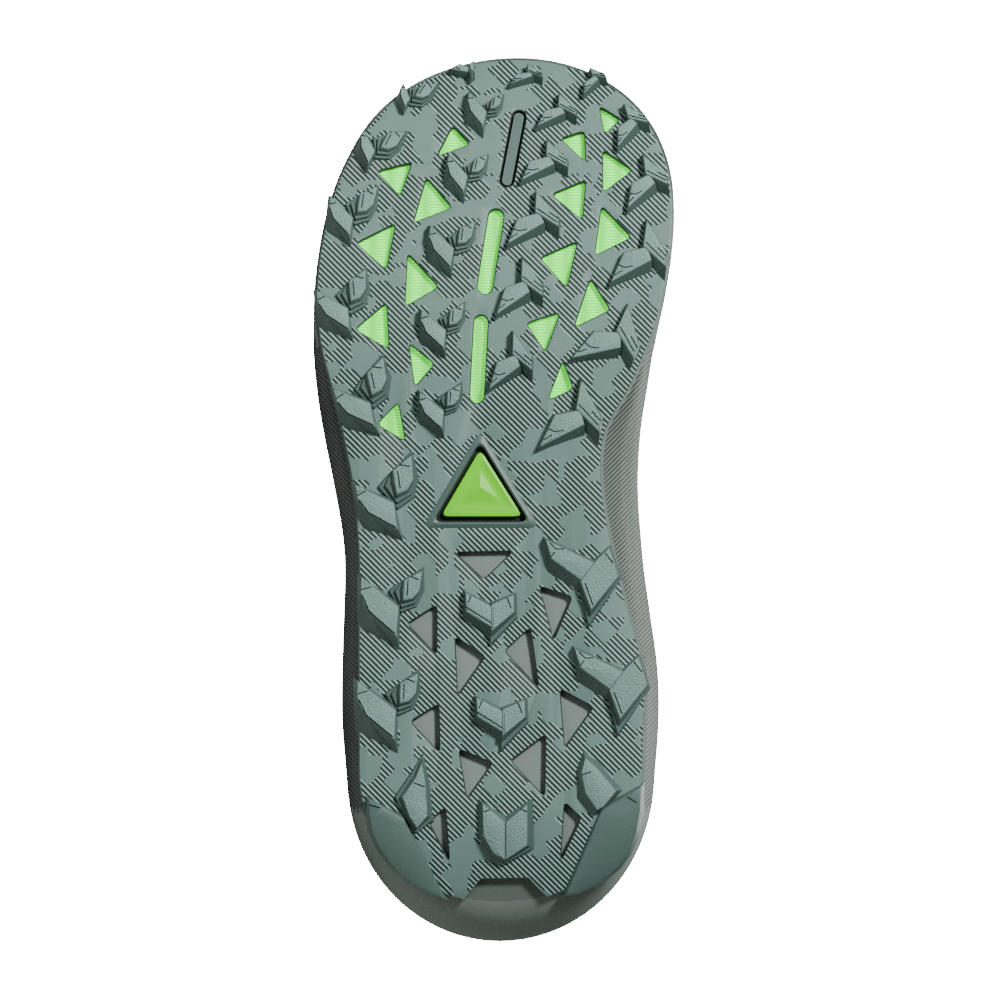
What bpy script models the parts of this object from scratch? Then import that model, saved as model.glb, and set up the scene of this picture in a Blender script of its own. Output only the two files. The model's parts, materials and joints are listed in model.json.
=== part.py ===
"""Trail running shoe for the right foot, lying on its lateral side.

The shoe is modelled as it is worn: x runs from heel to toe, y towards the medial side, z up,
with the lug tips on z = 0. An empty then lays the whole shoe down on its lateral side.
"""
import math
from collections import namedtuple

import bmesh
import bpy
from mathutils import Matrix, Vector

# Driving sizes of the sole, in metres
SOLE_LENGTH = 0.300
TIP_REACH = 0.0024
SOLE_TIP = SOLE_LENGTH + TIP_REACH
BALL_WIDTH = 0.1194
HEEL_WIDTH = 0.108
ARCH_SPAN = (0.40, 0.65)
HEEL_STACK = 0.038
FOREFOOT_STACK = 0.031
TOE_SPRING = 0.026
TOE_START = 0.64
TOE_CURVE = 1.7
HEEL_BEVEL = 0.016
HEEL_FINISH = 0.165
HEEL_CURVE = 1.8
TOE_SWING = 0.006
SWING_START = 0.667
HEEL_REACH = 0.055
TOE_REACH = 0.045
TREAD_HEEL_SETBACK = 0.013
TREAD_TOE_SETBACK = 0.0006
TREAD_HEEL_REACH = 0.045
RUBBER = 0.0022
LUG_HEIGHT = 0.004
FLANGE_HEIGHT = 0.0022
LUG_ROOT = 0.0008
ARM_DROP = 0.00025
BADGE_PEAK = 0.0012
BADGE_DEPTH = 0.0004
LAYER = 0.0008
LAYER_MARGIN = 0.005
LAYER_STRIP = 0.002
FOAM_LEDGE = 0.0008
RIM_INSET = 0.0065
RIM_WALL = 0.0035

# Driving sizes of the upper, footbed, tongue and lace, in metres
COLLAR_HEIGHT = 0.104
UPPER_WALL = 0.0020
COLLAR_WALL = 0.0050
OVERLAY_STEP = 0.0008
INSOLE = 0.004
TONGUE = 0.004
TONGUE_RISE = 0.016
TONGUE_TUCK = 0.010
TUCK_DROP = 0.0055
TONGUE_CLEARANCE = 0.0009
EYELET_RADIUS = 0.0021
EYELET_PAIRS = 6
LACE_RADIUS = 0.0014
LACE_CROWN = 0.002
THROAT_UP = (0.35, 0.0, 0.94)
LACE_CLEARANCE = 0.0009
LACE_LEAVE = 0.15
GAP = 0.0003

# Stations from heel to toe on each side of the shoe
STATIONS = 26
FULL_TURN = 2.0 * math.pi
LOOP = 2 * STATIONS
SLOT_ARC = 4
EYELET_SIDES = 8
FLAT_ANGLE = math.radians(0.1)
MERGE = 0.00001

# The tread is charted in a drawing seen from below, toe up, u to the medial side and v to the heel
CHART_MID = 284.0
CHART_HEEL = 944.0
CHART_LENGTH = 882.0
CHART_BALL = 351.0
CHART_HEEL_WIDTH = 317.5

# Half widths as shares of the local sole width: the foam's widest line, then the rubber's edge
Section = namedtuple("Section", "along lateral medial tread_lateral tread_medial")
SECTIONS = (
    Section(0.00, 0.481, 0.481, 0.444, 0.449),
    Section(0.17, 0.483, 0.487, 0.444, 0.449),
    Section(0.25, 0.499, 0.502, 0.445, 0.454),
    Section(0.31, 0.499, 0.499, 0.445, 0.454),
    Section(0.38, 0.493, 0.473, 0.445, 0.402),
    Section(0.45, 0.488, 0.444, 0.441, 0.350),
    Section(0.52, 0.500, 0.416, 0.442, 0.306),
    Section(0.58, 0.514, 0.410, 0.457, 0.305),
    Section(0.63, 0.525, 0.422, 0.480, 0.369),
    Section(0.69, 0.537, 0.445, 0.518, 0.430),
    Section(0.75, 0.542, 0.467, 0.534, 0.459),
    Section(0.82, 0.526, 0.475, 0.518, 0.468),
    Section(0.90, 0.483, 0.456, 0.477, 0.450),
    Section(1.00, 0.490, 0.452, 0.484, 0.446),
)

# Footbed and rim heights above the ground, as shares of the local stack
Height = namedtuple("Height", "along bed rim")
HEIGHTS = (
    Height(0.00, 1.05, 1.37),
    Height(0.12, 1.03, 1.31),
    Height(0.30, 1.00, 1.22),
    Height(0.50, 1.00, 1.20),
    Height(0.70, 1.00, 1.22),
    Height(0.85, 1.03, 1.29),
    Height(0.95, 1.16, 1.39),
    Height(1.00, 1.23, 1.45),
)

# The foam's side, bottom up: place between tread edge and widest line, inset, share of its height
WallRow = namedtuple("WallRow", "outward inset rise")
WALL_ROWS = (
    WallRow(0.52, 0.0000, 0.16),
    WallRow(0.58, 0.0000, 0.19),
    WallRow(0.93, 0.0000, 0.33),
    WallRow(1.00, 0.0000, 0.45),
    WallRow(1.00, 0.0006, 0.62),
    WallRow(1.00, 0.0020, 0.65),
    WallRow(1.00, 0.0042, 0.86),
    WallRow(1.00, RIM_INSET, 1.00),
)

# Topline, throat and vamp ridge by share of the way round the feather edge: shares of the
# sole's length, the heel's width and the collar's height
Topline = namedtuple("Topline", "along back half height")
TOPLINE = (
    Topline(0.000, 0.047, 0.000, 1.000),
    Topline(0.014, 0.056, 0.130, 0.990),
    Topline(0.070, 0.100, 0.232, 0.950),
    Topline(0.165, 0.173, 0.287, 0.905),
    Topline(0.270, 0.260, 0.287, 0.915),
    Topline(0.377, 0.333, 0.250, 0.990),
    Topline(0.465, 0.373, 0.195, 1.058),
    Topline(0.553, 0.440, 0.167, 1.030),
    Topline(0.640, 0.517, 0.148, 0.970),
    Topline(0.730, 0.593, 0.130, 0.895),
    Topline(0.817, 0.657, 0.083, 0.827),
    Topline(0.870, 0.690, 0.000, 0.790),
    Topline(0.965, 0.783, 0.000, 0.700),
    Topline(1.000, 0.855, 0.000, 0.645),
)

# How the wall rises, as shares of its own height and reach: near the sole, then near the topline
Rise = namedtuple("Rise", "along foot shoulder drop")
RISES = (
    Rise(0.00, 0.45, 0.30, 0.32),
    Rise(0.40, 0.45, 0.30, 0.34),
    Rise(0.60, 0.50, 0.36, 0.22),
    Rise(0.82, 0.55, 0.50, 0.06),
    Rise(1.00, 0.55, 0.52, 0.02),
)
UPPER_ROWS = (0.0, 0.10, 0.20, 0.22, 0.34, 0.36, 0.50, 0.64, 0.78, 0.80, 0.90, 1.0)
GUARD_ROWS = (3, 4)
GUARD_SHARE = 0.74
COUNTER_ROWS = (3, 7)
COUNTER_SHARE = 0.17
EYESTAY_ROWS = (9, 11)
EYESTAY_SHARES = (0.43, 0.86)
PADDED_SHARE = 0.40
PADDED_ROW = 8
EYELET_SHARES = (0.49, 0.80)
EYELET_ROW = 0.91
TONGUE_STATIONS = (12, 18)
TONGUE_ROWS = (0.80, 0.90, 1.0)
Tip = namedtuple("Tip", "along width")
TONGUE_TIP = (Tip(1.0, 0.46), Tip(0.84, 0.66), Tip(0.5, 0.80), Tip(0.2, 0.88))
TUCK_WIDTH = 0.90
RIDGE_SHARE = 0.87

# Lug arms on the chart, from the lug's own notch or apex: where each meets the rubber, its tip face
Arm = namedtuple("Arm", "root tip")
CHEVRON_OUTER = Arm(((-42, -34), (2, -4), (1, 46), (-40, 24), (-42, 12), (-42, -4)),
                    ((-38, -31), (0, 0), (-2, 31), (-27, 8), (-35, -2), (-39, -14)))
CHEVRON_INNER = Arm(((2, 8), (-14, -13), (3, -45), (27, -40), (29, -19), (21, -2)),
                    ((4, -7), (3, -20), (6, -40), (23, -36), (25, -23), (21, -15)))
ROOF_RIGHT = Arm(((-2, -2), (23, 29), (21, 54), (-2, 31)), ((0, 0), (20, 27), (21, 41), (-1, 24)))
ROOF_LEFT = Arm(((4, 22), (-19, 31), (-28, 66), (9, 46)), ((3, 24), (-17, 31), (-26, 60), (8, 36)))
HOOK_RIGHT = Arm(((0, -3), (16, -17), (27, 18), (-7, 70), (-18, 22)),
                 ((0, 0), (14, -14), (24, 15), (-4, 50), (-15, 20)))
HOOK_LEFT = Arm(((6, 2), (-52, -25), (-48, 14), (-12, 34)), ((5, 4), (-50, -22), (-44, -2), (-8, 24)))
HEART_LEFT = Arm(((5, 1), (-28, -14), (-29, 15), (4, 40)), ((4, 4), (-26, -12), (-25, 8), (3, 25)))
HEART_RIGHT = Arm(((0, -2), (26, -12), (27, 15), (0, 45)), ((0, 0), (23, -10), (24, 8), (0, 28)))

# Chevron lugs, notch first: the lateral column from toe to heel, then the one inside it
Chevron = namedtuple("Chevron", "u v outer inner turn")
CHEVRONS = (
    Chevron(194, 97, 0.36, 0.72, 28),
    Chevron(159, 150, 0.50, 0.84, 24),
    Chevron(137, 217, 0.66, 0.92, 5),
    Chevron(132, 308, 0.76, 1.00, -9),
    Chevron(154, 403, 0.82, 1.10, -17),
    Chevron(178, 503, 0.90, 1.18, -13),
    Chevron(183, 607, 1.00, 1.00, 0),
    Chevron(180, 710, 1.00, 1.00, -2),
    Chevron(271, 110, 0.56, 0.56, 10),
    Chevron(252, 175, 0.60, 0.68, 10),
    Chevron(238, 248, 0.68, 0.80, 5),
    Chevron(230, 330, 0.66, 0.76, 1),
    Chevron(228, 411, 0.64, 0.74, 0),
)

# Roof lugs, apex first: the column inside the medial one, then the medial column
Roof = namedtuple("Roof", "u v across along turn")
ROOFS = (
    Roof(258, 57, 0.50, 0.40, 40),
    Roof(312, 61, 0.70, 0.36, 0),
    Roof(343, 91, 0.85, 0.57, 0),
    Roof(331, 138, 1.00, 0.70, 0),
    Roof(320, 190, 1.10, 0.90, 0),
    Roof(306, 257, 1.00, 0.97, 0),
    Roof(297, 331, 0.94, 0.98, 0),
    Roof(374, 65, 0.60, 0.40, -20),
    Roof(408, 102, 0.80, 0.66, -20),
    Roof(427, 153, 0.95, 0.86, -10),
    Roof(431, 219, 1.15, 1.12, 6),
    Roof(412, 304, 1.25, 1.20, 22),
    Roof(365, 380, 1.25, 1.22, 8),
)

# Hook lugs of the medial waist and heart lugs of the heel's middle, by their notches
Spot = namedtuple("Spot", "u v")
HOOKS = (Spot(379, 561), Spot(408, 670))
HEARTS = (Spot(275, 604), Spot(286, 709))
HEEL_HEART = Arm(((263, 799), (289, 817), (315, 801), (306, 838), (288, 869), (271, 837)),
                 ((267, 803), (289, 821), (312, 803), (303, 834), (289, 858), (276, 833)))
FLANGES = (
    Arm(((148, 797), (196, 818), (204, 755), (217, 790), (236, 896), (205, 894), (170, 868), (152, 836)),
        ((152, 802), (198, 823), (205, 768), (211, 795), (230, 890), (206, 889), (174, 865), (157, 838))),
    Arm(((427, 784), (383, 811), (368, 755), (362, 800), (342, 896), (374, 892), (402, 866), (420, 834)),
        ((423, 789), (380, 817), (367, 770), (367, 802), (348, 890), (374, 887), (398, 863), (415, 834))),
)

# Windows through the rubber: three corners each on the chart
FOREFOOT_WINDOWS = (
    ((237, 127), (251, 142), (224, 152)),
    ((193, 164), (164, 171), (183, 192)),
    ((211, 180), (233, 206), (200, 219)),
    ((177, 226), (143, 243), (169, 266)),
    ((193, 257), (220, 286), (191, 303)),
    ((169, 306), (142, 329), (171, 346)),
    ((195, 347), (216, 364), (200, 383)),
    ((181, 406), (164, 424), (187, 438)),
    ((386, 108), (402, 118), (390, 129)),
    ((367, 132), (348, 138), (368, 157)),
    ((389, 152), (414, 169), (389, 188)),
    ((368, 182), (339, 194), (365, 216)),
    ((387, 209), (413, 236), (381, 252)),
    ((359, 244), (327, 258), (350, 284)),
    ((375, 282), (392, 309), (361, 324)),
    ((341, 315), (313, 324), (329, 348)),
    ((347, 365), (355, 388), (335, 397)),
)
HEEL_WINDOWS = (
    ((243, 554), (293, 553), (268, 577)),
    ((219, 608), (194, 624), (219, 651)),
    ((326, 589), (354, 598), (338, 636)),
    ((313, 631), (291, 651), (321, 684)),
    ((241, 640), (267, 657), (243, 692)),
    ((221, 707), (197, 722), (222, 749)),
    ((346, 692), (375, 708), (350, 744)),
    ((328, 738), (297, 761), (327, 793)),
    ((245, 752), (274, 764), (252, 795)),
    ((228, 811), (215, 823), (232, 858)),
    ((350, 806), (363, 819), (346, 857)),
)
BADGE_WINDOW = ((264, 442), (313, 522), (217, 522))
BADGE_PLUG = ((264, 449), (307, 517), (224, 517))
BADGE_APEX = (264, 487)
HEEL_NOTCH = ((248, 902), (265, 880), (312, 879), (331, 899))

# Slots with round ends: centre line from end to end and half width
Slot = namedtuple("Slot", "u_toe v_toe u_heel v_heel half")
SLOTS = (
    Slot(303, 116, 291, 179, 7.0),
    Slot(280, 216, 269, 286, 7.5),
    Slot(265, 322, 261, 396, 6.8),
)

Edge = namedtuple("Edge", "start finish heel_reach lateral medial")
WALL_EDGE = Edge(0.0, SOLE_TIP, HEEL_REACH, "lateral", "medial")
TREAD_EDGE = Edge(
    TREAD_HEEL_SETBACK,
    SOLE_TIP - TREAD_TOE_SETBACK,
    TREAD_HEEL_REACH,
    "tread_lateral",
    "tread_medial",
)
LAYER_SPAN = (0.50 * SOLE_LENGTH, 0.955 * SOLE_LENGTH)

# Colour, roughness
FINISHES = {
    "outsole": ((0.17, 0.26, 0.22), 0.55),
    "midsole": ((0.10, 0.125, 0.10), 0.60),
    "forefoot_layer": ((0.32, 0.87, 0.25), 0.70),
    "sole_badge": ((0.29, 0.60, 0.05), 0.35),
    "insole": ((0.06, 0.07, 0.065), 0.90),
    "upper": ((0.12, 0.17, 0.15), 0.80),
    "tongue": ((0.10, 0.14, 0.125), 0.85),
    "lace": ((0.30, 0.75, 0.20), 0.75),
}


def clear_scene():
    for old in list(bpy.data.objects):
        bpy.data.objects.remove(old, do_unlink=True)


def new_collection(name):
    collection = bpy.data.collections.new(name)
    bpy.context.scene.collection.children.link(collection)
    return collection


def finish_material(name):
    colour, roughness = FINISHES[name]
    material = bpy.data.materials.new(name)
    material.use_nodes = True
    shader = material.node_tree.nodes["Principled BSDF"]
    shader.inputs["Base Color"].default_value = (*colour, 1.0)
    shader.inputs["Roughness"].default_value = roughness
    shader.inputs["Metallic"].default_value = 0.0
    return material


def mesh_object(name, mesh, collection):
    piece = bpy.data.objects.new(name, mesh)
    collection.objects.link(piece)
    if name in FINISHES:
        piece.data.materials.clear()
        piece.data.materials.append(finish_material(name))
    return piece


def ease(share):
    share = min(max(share, 0.0), 1.0)
    return share * share * (3.0 - 2.0 * share)


def read(table, column, along):
    """Reads one column of a table of sections along a smooth curve through its rows."""
    rows = [(row.along, getattr(row, column)) for row in table]
    along = min(max(along, rows[0][0]), rows[-1][0])
    last = len(rows) - 1
    i = 0
    while i < last - 1 and along > rows[i + 1][0]:
        i += 1
    (x0, y0), (x1, y1) = rows[i], rows[i + 1]
    before, after = rows[max(i - 1, 0)], rows[min(i + 2, last)]
    slope0 = (y1 - before[1]) / (x1 - before[0])
    slope1 = (after[1] - y0) / (after[0] - x0)
    t = (along - x0) / (x1 - x0)
    span = x1 - x0
    near = (1 + 2 * t) * (1 - t) ** 2 * y0 + t * (1 - t) ** 2 * span * slope0
    far = t * t * (3 - 2 * t) * y1 + t * t * (t - 1) * span * slope1
    return near + far


def forefoot_share(x):
    start, finish = ARCH_SPAN
    return ease((x / SOLE_LENGTH - start) / (finish - start))


def local_width(x):
    share = forefoot_share(x)
    return HEEL_WIDTH + (BALL_WIDTH - HEEL_WIDTH) * share


def local_stack(x):
    share = forefoot_share(x)
    return HEEL_STACK + (FOREFOOT_STACK - HEEL_STACK) * share


def bed_height(x):
    return read(HEIGHTS, "bed", x / SOLE_LENGTH) * local_stack(x)


def rim_height(x):
    return read(HEIGHTS, "rim", x / SOLE_LENGTH) * local_stack(x)


def centre_line(x):
    return TOE_SWING * max(0.0, (x / SOLE_LENGTH - SWING_START) / (1.0 - SWING_START))


def tread_height(x):
    """Height of the rubber's outer face, with the toe spring and the heel bevel."""
    along = x / SOLE_LENGTH
    toe = max(0.0, (along - TOE_START) / (1.0 - TOE_START))
    heel = max(0.0, (HEEL_FINISH - along) / HEEL_FINISH)
    return LUG_HEIGHT + TOE_SPRING * toe ** TOE_CURVE + HEEL_BEVEL * heel ** HEEL_CURVE


def tread_angle(x):
    step = 0.0005
    return math.atan((tread_height(x + step) - tread_height(x - step)) / (2.0 * step))


def bend(x, y, depth):
    """Lays a point of the flat chart on the sprung tread, depth being the way into the shoe."""
    angle = tread_angle(x)
    return Vector((x - math.sin(angle) * depth, y, tread_height(x) + math.cos(angle) * depth))


def chart(u, v):
    """Turns a place on the chart into x and y of the worn shoe."""
    x = (CHART_HEEL - v) / CHART_LENGTH * SOLE_LENGTH
    share = forefoot_share(x)
    chart_width = CHART_HEEL_WIDTH + (CHART_BALL - CHART_HEEL_WIDTH) * share
    return x, (u - CHART_MID) / chart_width * local_width(x)


def round_end(share):
    share = min(max(share, 0.0), 1.0)
    return math.sqrt(1.0 - (1.0 - share) ** 2)


def side_y(edge, x, side):
    column = edge.medial if side > 0 else edge.lateral
    width = read(SECTIONS, column, x / SOLE_LENGTH) * local_width(x)
    ends = round_end((x - edge.start) / edge.heel_reach) * round_end((edge.finish - x) / TOE_REACH)
    return centre_line(x) + side * width * ends


def raw_edge_point(edge, turn):
    share = (1.0 - math.cos(turn)) / 2.0
    side = -1.0 if turn % FULL_TURN <= math.pi else 1.0
    x = edge.start + (edge.finish - edge.start) * share
    return Vector((x, side_y(edge, x, side), 0.0))


def edge_frame(edge, turn):
    """Point and outward direction on an edge; turn 0 is the heel, pi the toe, lateral side first."""
    here = raw_edge_point(edge, turn)
    step = 0.01
    tangent = raw_edge_point(edge, turn + step) - raw_edge_point(edge, turn - step)
    outward = Vector((tangent.y, -tangent.x, 0.0)).normalized()
    return here, outward


def loop_turns():
    return [FULL_TURN * i / LOOP for i in range(LOOP)]


def wall_ring(inset, height):
    """A ring inset from the sole's widest line, its height a function of x."""
    ring = []
    for turn in loop_turns():
        here, outward = edge_frame(WALL_EDGE, turn)
        point = here - outward * inset
        ring.append(Vector((point.x, point.y, height(point.x))))
    return ring


def tread_stations():
    return [raw_edge_point(TREAD_EDGE, math.pi * i / STATIONS).x for i in range(STATIONS + 1)]


def add_ring(model, ring):
    return [model.verts.new(point) for point in ring]


def skin(model, low, high):
    for i in range(LOOP):
        j = (i + 1) % LOOP
        model.faces.new((low[i], low[j], high[j], high[i]))


def ladder(model, ring):
    """Closes a ring with one face between each pair of stations."""
    for i in range(STATIONS):
        j = (LOOP - i) % LOOP
        corners = [ring[i], ring[i + 1], ring[(LOOP - i - 1) % LOOP], ring[j]]
        unique = []
        for corner in corners:
            if corner not in unique:
                unique.append(corner)
        model.faces.new(unique)


def ring_solid(name, rings, collection):
    """A closed solid through a stack of rings, flat across at both ends."""
    model = bmesh.new()
    layers = [add_ring(model, ring) for ring in rings]
    ladder(model, layers[0])
    for low, high in zip(layers, layers[1:]):
        skin(model, low, high)
    ladder(model, layers[-1])
    bmesh.ops.recalc_face_normals(model, faces=model.faces)
    mesh = bpy.data.meshes.new(name)
    model.to_mesh(mesh)
    model.free()
    return mesh_object(name, mesh, collection)


def bent_stations():
    """The stations where the tread leaves the ground, with the last one on the ground."""
    stations = tread_stations()
    neighbours = zip(stations, stations[1:], stations[2:])
    return [
        here
        for before, here, after in neighbours
        if max(tread_height(before), tread_height(after)) > LUG_HEIGHT
    ]


def lay_on_tread(model, lift, stations):
    """Cuts a flat model at the stations and bends it to the sprung tread."""
    for x in stations:
        everything = list(model.verts) + list(model.edges) + list(model.faces)
        cut = bmesh.ops.bisect_plane(
            model, geom=everything, dist=MERGE, plane_co=(x, 0, 0), plane_no=(1, 0, 0)
        )
        for item in cut["geom_cut"]:
            if isinstance(item, bmesh.types.BMEdge):
                item.seam = True
    bmesh.ops.dissolve_limit(
        model, angle_limit=FLAT_ANGLE, verts=model.verts, edges=model.edges, delimit={"SEAM"}
    )
    for vertex in model.verts:
        vertex.co = bend(vertex.co.x, vertex.co.y, vertex.co.z + lift)
    bmesh.ops.recalc_face_normals(model, faces=model.faces)
    bmesh.ops.triangulate(model, faces=model.faces)


def chart_sheet(name, outline, holes, near, far, collection):
    """A flat sheet drawn on the chart with holes, then laid on the sprung tread."""
    curve = bpy.data.curves.new(name, "CURVE")
    curve.dimensions = "2D"
    curve.fill_mode = "BOTH"
    curve.extrude = (far - near) / 2.0
    for ring in [outline, *holes]:
        spline = curve.splines.new("POLY")
        spline.points.add(len(ring) - 1)
        for point, (x, y) in zip(spline.points, ring):
            point.co = (x, y, 0.0, 1.0)
        spline.use_cyclic_u = True
    drawn = bpy.data.objects.new(name + "_outline", curve)
    collection.objects.link(drawn)
    bpy.context.view_layer.update()
    evaluated = drawn.evaluated_get(bpy.context.evaluated_depsgraph_get())
    mesh = bpy.data.meshes.new_from_object(evaluated)
    bpy.data.objects.remove(drawn, do_unlink=True)
    model = bmesh.new()
    model.from_mesh(mesh)
    bmesh.ops.remove_doubles(model, verts=model.verts, dist=MERGE)
    lay_on_tread(model, (near + far) / 2.0, bent_stations())
    model.to_mesh(mesh)
    model.free()
    mesh.name = name
    return mesh_object(name, mesh, collection)


def tread_outline():
    """The rubber's outline with the notch at the back of the heel."""
    notch = [chart(u, v) for u, v in HEEL_NOTCH]
    points = []
    for turn in loop_turns():
        point = raw_edge_point(TREAD_EDGE, turn)
        behind_notch = notch[0][1] < point.y < notch[-1][1] and point.x < SOLE_LENGTH / 2
        if not behind_notch:
            points.append((point.x, point.y))
    return points + notch[::-1]


def slot_outline(slot):
    toe = Vector((slot.u_toe, slot.v_toe))
    heel = Vector((slot.u_heel, slot.v_heel))
    direction = (heel - toe).normalized()
    aside = Vector((-direction.y, direction.x))
    ring = []
    for centre, start in ((heel, 0.0), (toe, math.pi)):
        for i in range(SLOT_ARC + 1):
            angle = start + math.pi * i / SLOT_ARC
            place = centre + (aside * math.cos(angle) + direction * math.sin(angle)) * slot.half
            ring.append(chart(place.x, place.y))
    return ring


def window_outlines():
    rings = [[chart(u, v) for u, v in corners] for corners in FOREFOOT_WINDOWS + HEEL_WINDOWS]
    rings.append([chart(u, v) for u, v in BADGE_WINDOW])
    rings.extend(slot_outline(slot) for slot in SLOTS)
    return rings


def placed(points, u, v, across, along, turn):
    """Scales and turns an arm's outline and moves it to its place on the chart."""
    angle = math.radians(turn)
    result = []
    for du, dv in points:
        du, dv = du * across, dv * along
        turned_u = du * math.cos(angle) - dv * math.sin(angle)
        turned_v = du * math.sin(angle) + dv * math.cos(angle)
        result.append(chart(u + turned_u, v + turned_v))
    return result


def set_back(ring, height):
    """Moves an outline along the sprung tread, so that the lug's tip meets the chart from below."""
    return [(x - math.sin(tread_angle(x)) * height, y) for x, y in ring]


def lug_body(arm, u, v, across, along, turn, height, stations=()):
    """One lug arm from its root inside the rubber to its tip face."""
    root = set_back(placed(arm.root, u, v, across, along, turn), height)
    tip = set_back(placed(arm.tip, u, v, across, along, turn), height)
    model = bmesh.new()
    low = [model.verts.new((x, y, LUG_ROOT)) for x, y in root]
    high = [model.verts.new((x, y, -height)) for x, y in tip]
    model.faces.new(low)
    model.faces.new(high)
    count = len(low)
    for i in range(count):
        j = (i + 1) % count
        model.faces.new((low[i], low[j], high[j], high[i]))
    lay_on_tread(model, 0.0, stations)
    mesh = bpy.data.meshes.new("lug")
    model.to_mesh(mesh)
    model.free()
    return mesh


def lug_arms():
    """All lug arms in two sets, so that no two arms of one set touch."""
    first, second = [], []
    low = LUG_HEIGHT - ARM_DROP
    for lug in CHEVRONS:
        size = lug.outer
        first.append(lug_body(CHEVRON_OUTER, lug.u, lug.v, size, size, lug.turn, LUG_HEIGHT))
        size = lug.inner
        second.append(lug_body(CHEVRON_INNER, lug.u, lug.v, size, size, lug.turn, low))
    for lug in ROOFS:
        first.append(lug_body(ROOF_RIGHT, *lug, LUG_HEIGHT))
        second.append(lug_body(ROOF_LEFT, *lug, low))
    for spot in HOOKS:
        first.append(lug_body(HOOK_RIGHT, *spot, 1, 1, 0, LUG_HEIGHT))
        second.append(lug_body(HOOK_LEFT, *spot, 1, 1, 0, low))
    for spot in HEARTS:
        first.append(lug_body(HEART_RIGHT, *spot, 1, 1, 0, LUG_HEIGHT))
        second.append(lug_body(HEART_LEFT, *spot, 1, 1, 0, low))
    for flange in (HEEL_HEART, *FLANGES):
        first.append(lug_body(flange, 0, 0, 1, 1, 0, FLANGE_HEIGHT, bent_stations()))
    return first, second


def joined(name, meshes, collection):
    model = bmesh.new()
    for mesh in meshes:
        model.from_mesh(mesh)
    mesh = bpy.data.meshes.new(name)
    model.to_mesh(mesh)
    model.free()
    return mesh_object(name, mesh, collection)


def combine(piece, other, operation):
    """Joins or cuts a piece with a hidden tool object."""
    other.hide_render = True
    other.display_type = "WIRE"
    modifier = piece.modifiers.new(operation.lower(), "BOOLEAN")
    modifier.operation = operation
    modifier.object = other
    modifier.solver = "EXACT"


def make_outsole(parts, cutters):
    holes = window_outlines()
    outsole = chart_sheet("outsole", tread_outline(), holes, 0.0, RUBBER, parts)
    first, second = lug_arms()
    combine(outsole, joined("lug_arms_first", first, cutters), "UNION")
    combine(outsole, joined("lug_arms_second", second, cutters), "UNION")
    weld = outsole.modifiers.new("closed_corners", "WELD")
    weld.merge_threshold = 2.0 * MERGE
    return outsole


def layer_outline(clearance):
    """The forefoot layer's outline, inside the tread's edge."""
    start, finish = LAYER_SPAN
    start, finish = start - clearance, finish + clearance
    inner = [x for x in tread_stations() if start + LAYER_STRIP < x < finish - LAYER_STRIP]
    stations = [start, *inner, finish]
    margin = LAYER_MARGIN - clearance
    lateral = [(x, side_y(TREAD_EDGE, x, -1) + margin) for x in stations]
    medial = [(x, side_y(TREAD_EDGE, x, 1) - margin) for x in stations]
    return lateral + medial[::-1]


def make_forefoot_layer(parts):
    near = RUBBER + GAP
    return chart_sheet("forefoot_layer", layer_outline(0.0), [], near, near + LAYER, parts)


def make_sole_badge(parts):
    """A low three-sided plug with its own small peak."""
    model = bmesh.new()
    corners = [chart(u, v) for u, v in BADGE_PLUG]
    back = [model.verts.new(bend(x, y, RUBBER)) for x, y in corners]
    front = [model.verts.new(bend(x, y, BADGE_DEPTH)) for x, y in corners]
    x, y = chart(*BADGE_APEX)
    peak = model.verts.new(bend(x, y, -BADGE_PEAK))
    model.faces.new(back)
    for i in range(3):
        j = (i + 1) % 3
        model.faces.new((back[i], back[j], front[j], front[i]))
        model.faces.new((front[i], front[j], peak))
    bmesh.ops.recalc_face_normals(model, faces=model.faces)
    mesh = bpy.data.meshes.new("sole_badge")
    model.to_mesh(mesh)
    model.free()
    return mesh_object("sole_badge", mesh, parts)


def foam_side_ring(row):
    ring = []
    for turn in loop_turns():
        widest, outward = edge_frame(WALL_EDGE, turn)
        tread = raw_edge_point(TREAD_EDGE, turn)
        point = tread.lerp(widest, row.outward) - outward * row.inset
        base = tread_height(point.x)
        ring.append(Vector((point.x, point.y, base + (rim_height(point.x) - base) * row.rise)))
    return ring


def foam_bottom_ring():
    """The foam's bottom edge stands a little outside the rubber, station by station."""
    ring = []
    for turn in loop_turns():
        point = raw_edge_point(TREAD_EDGE, turn)
        side = -1.0 if turn <= math.pi else 1.0
        ledge = 0.0 if turn in (0.0, math.pi) else side * FOAM_LEDGE
        ring.append(bend(point.x, point.y + ledge, RUBBER + GAP))
    return ring


def make_midsole(parts, cutters):
    rings = [foam_bottom_ring()]
    rings.extend(foam_side_ring(row) for row in WALL_ROWS)
    cup = RIM_INSET + RIM_WALL
    rings.append(wall_ring(cup, rim_height))
    rings.append(wall_ring(cup, bed_height))
    midsole = ring_solid("midsole", rings, parts)
    depth = RUBBER + GAP + LAYER + GAP
    pocket = chart_sheet("layer_pocket", layer_outline(GAP), [], 0.0, depth, cutters)
    combine(midsole, pocket, "DIFFERENCE")
    return midsole


def feather_inset():
    return RIM_INSET + RIM_WALL + GAP


def make_insole(parts):
    inset = feather_inset() + UPPER_WALL + 2.0 * GAP
    rings = [
        wall_ring(inset, lambda x: bed_height(x) + GAP),
        wall_ring(inset, lambda x: bed_height(x) + GAP + INSOLE),
    ]
    return ring_solid("insole", rings, parts)


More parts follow.
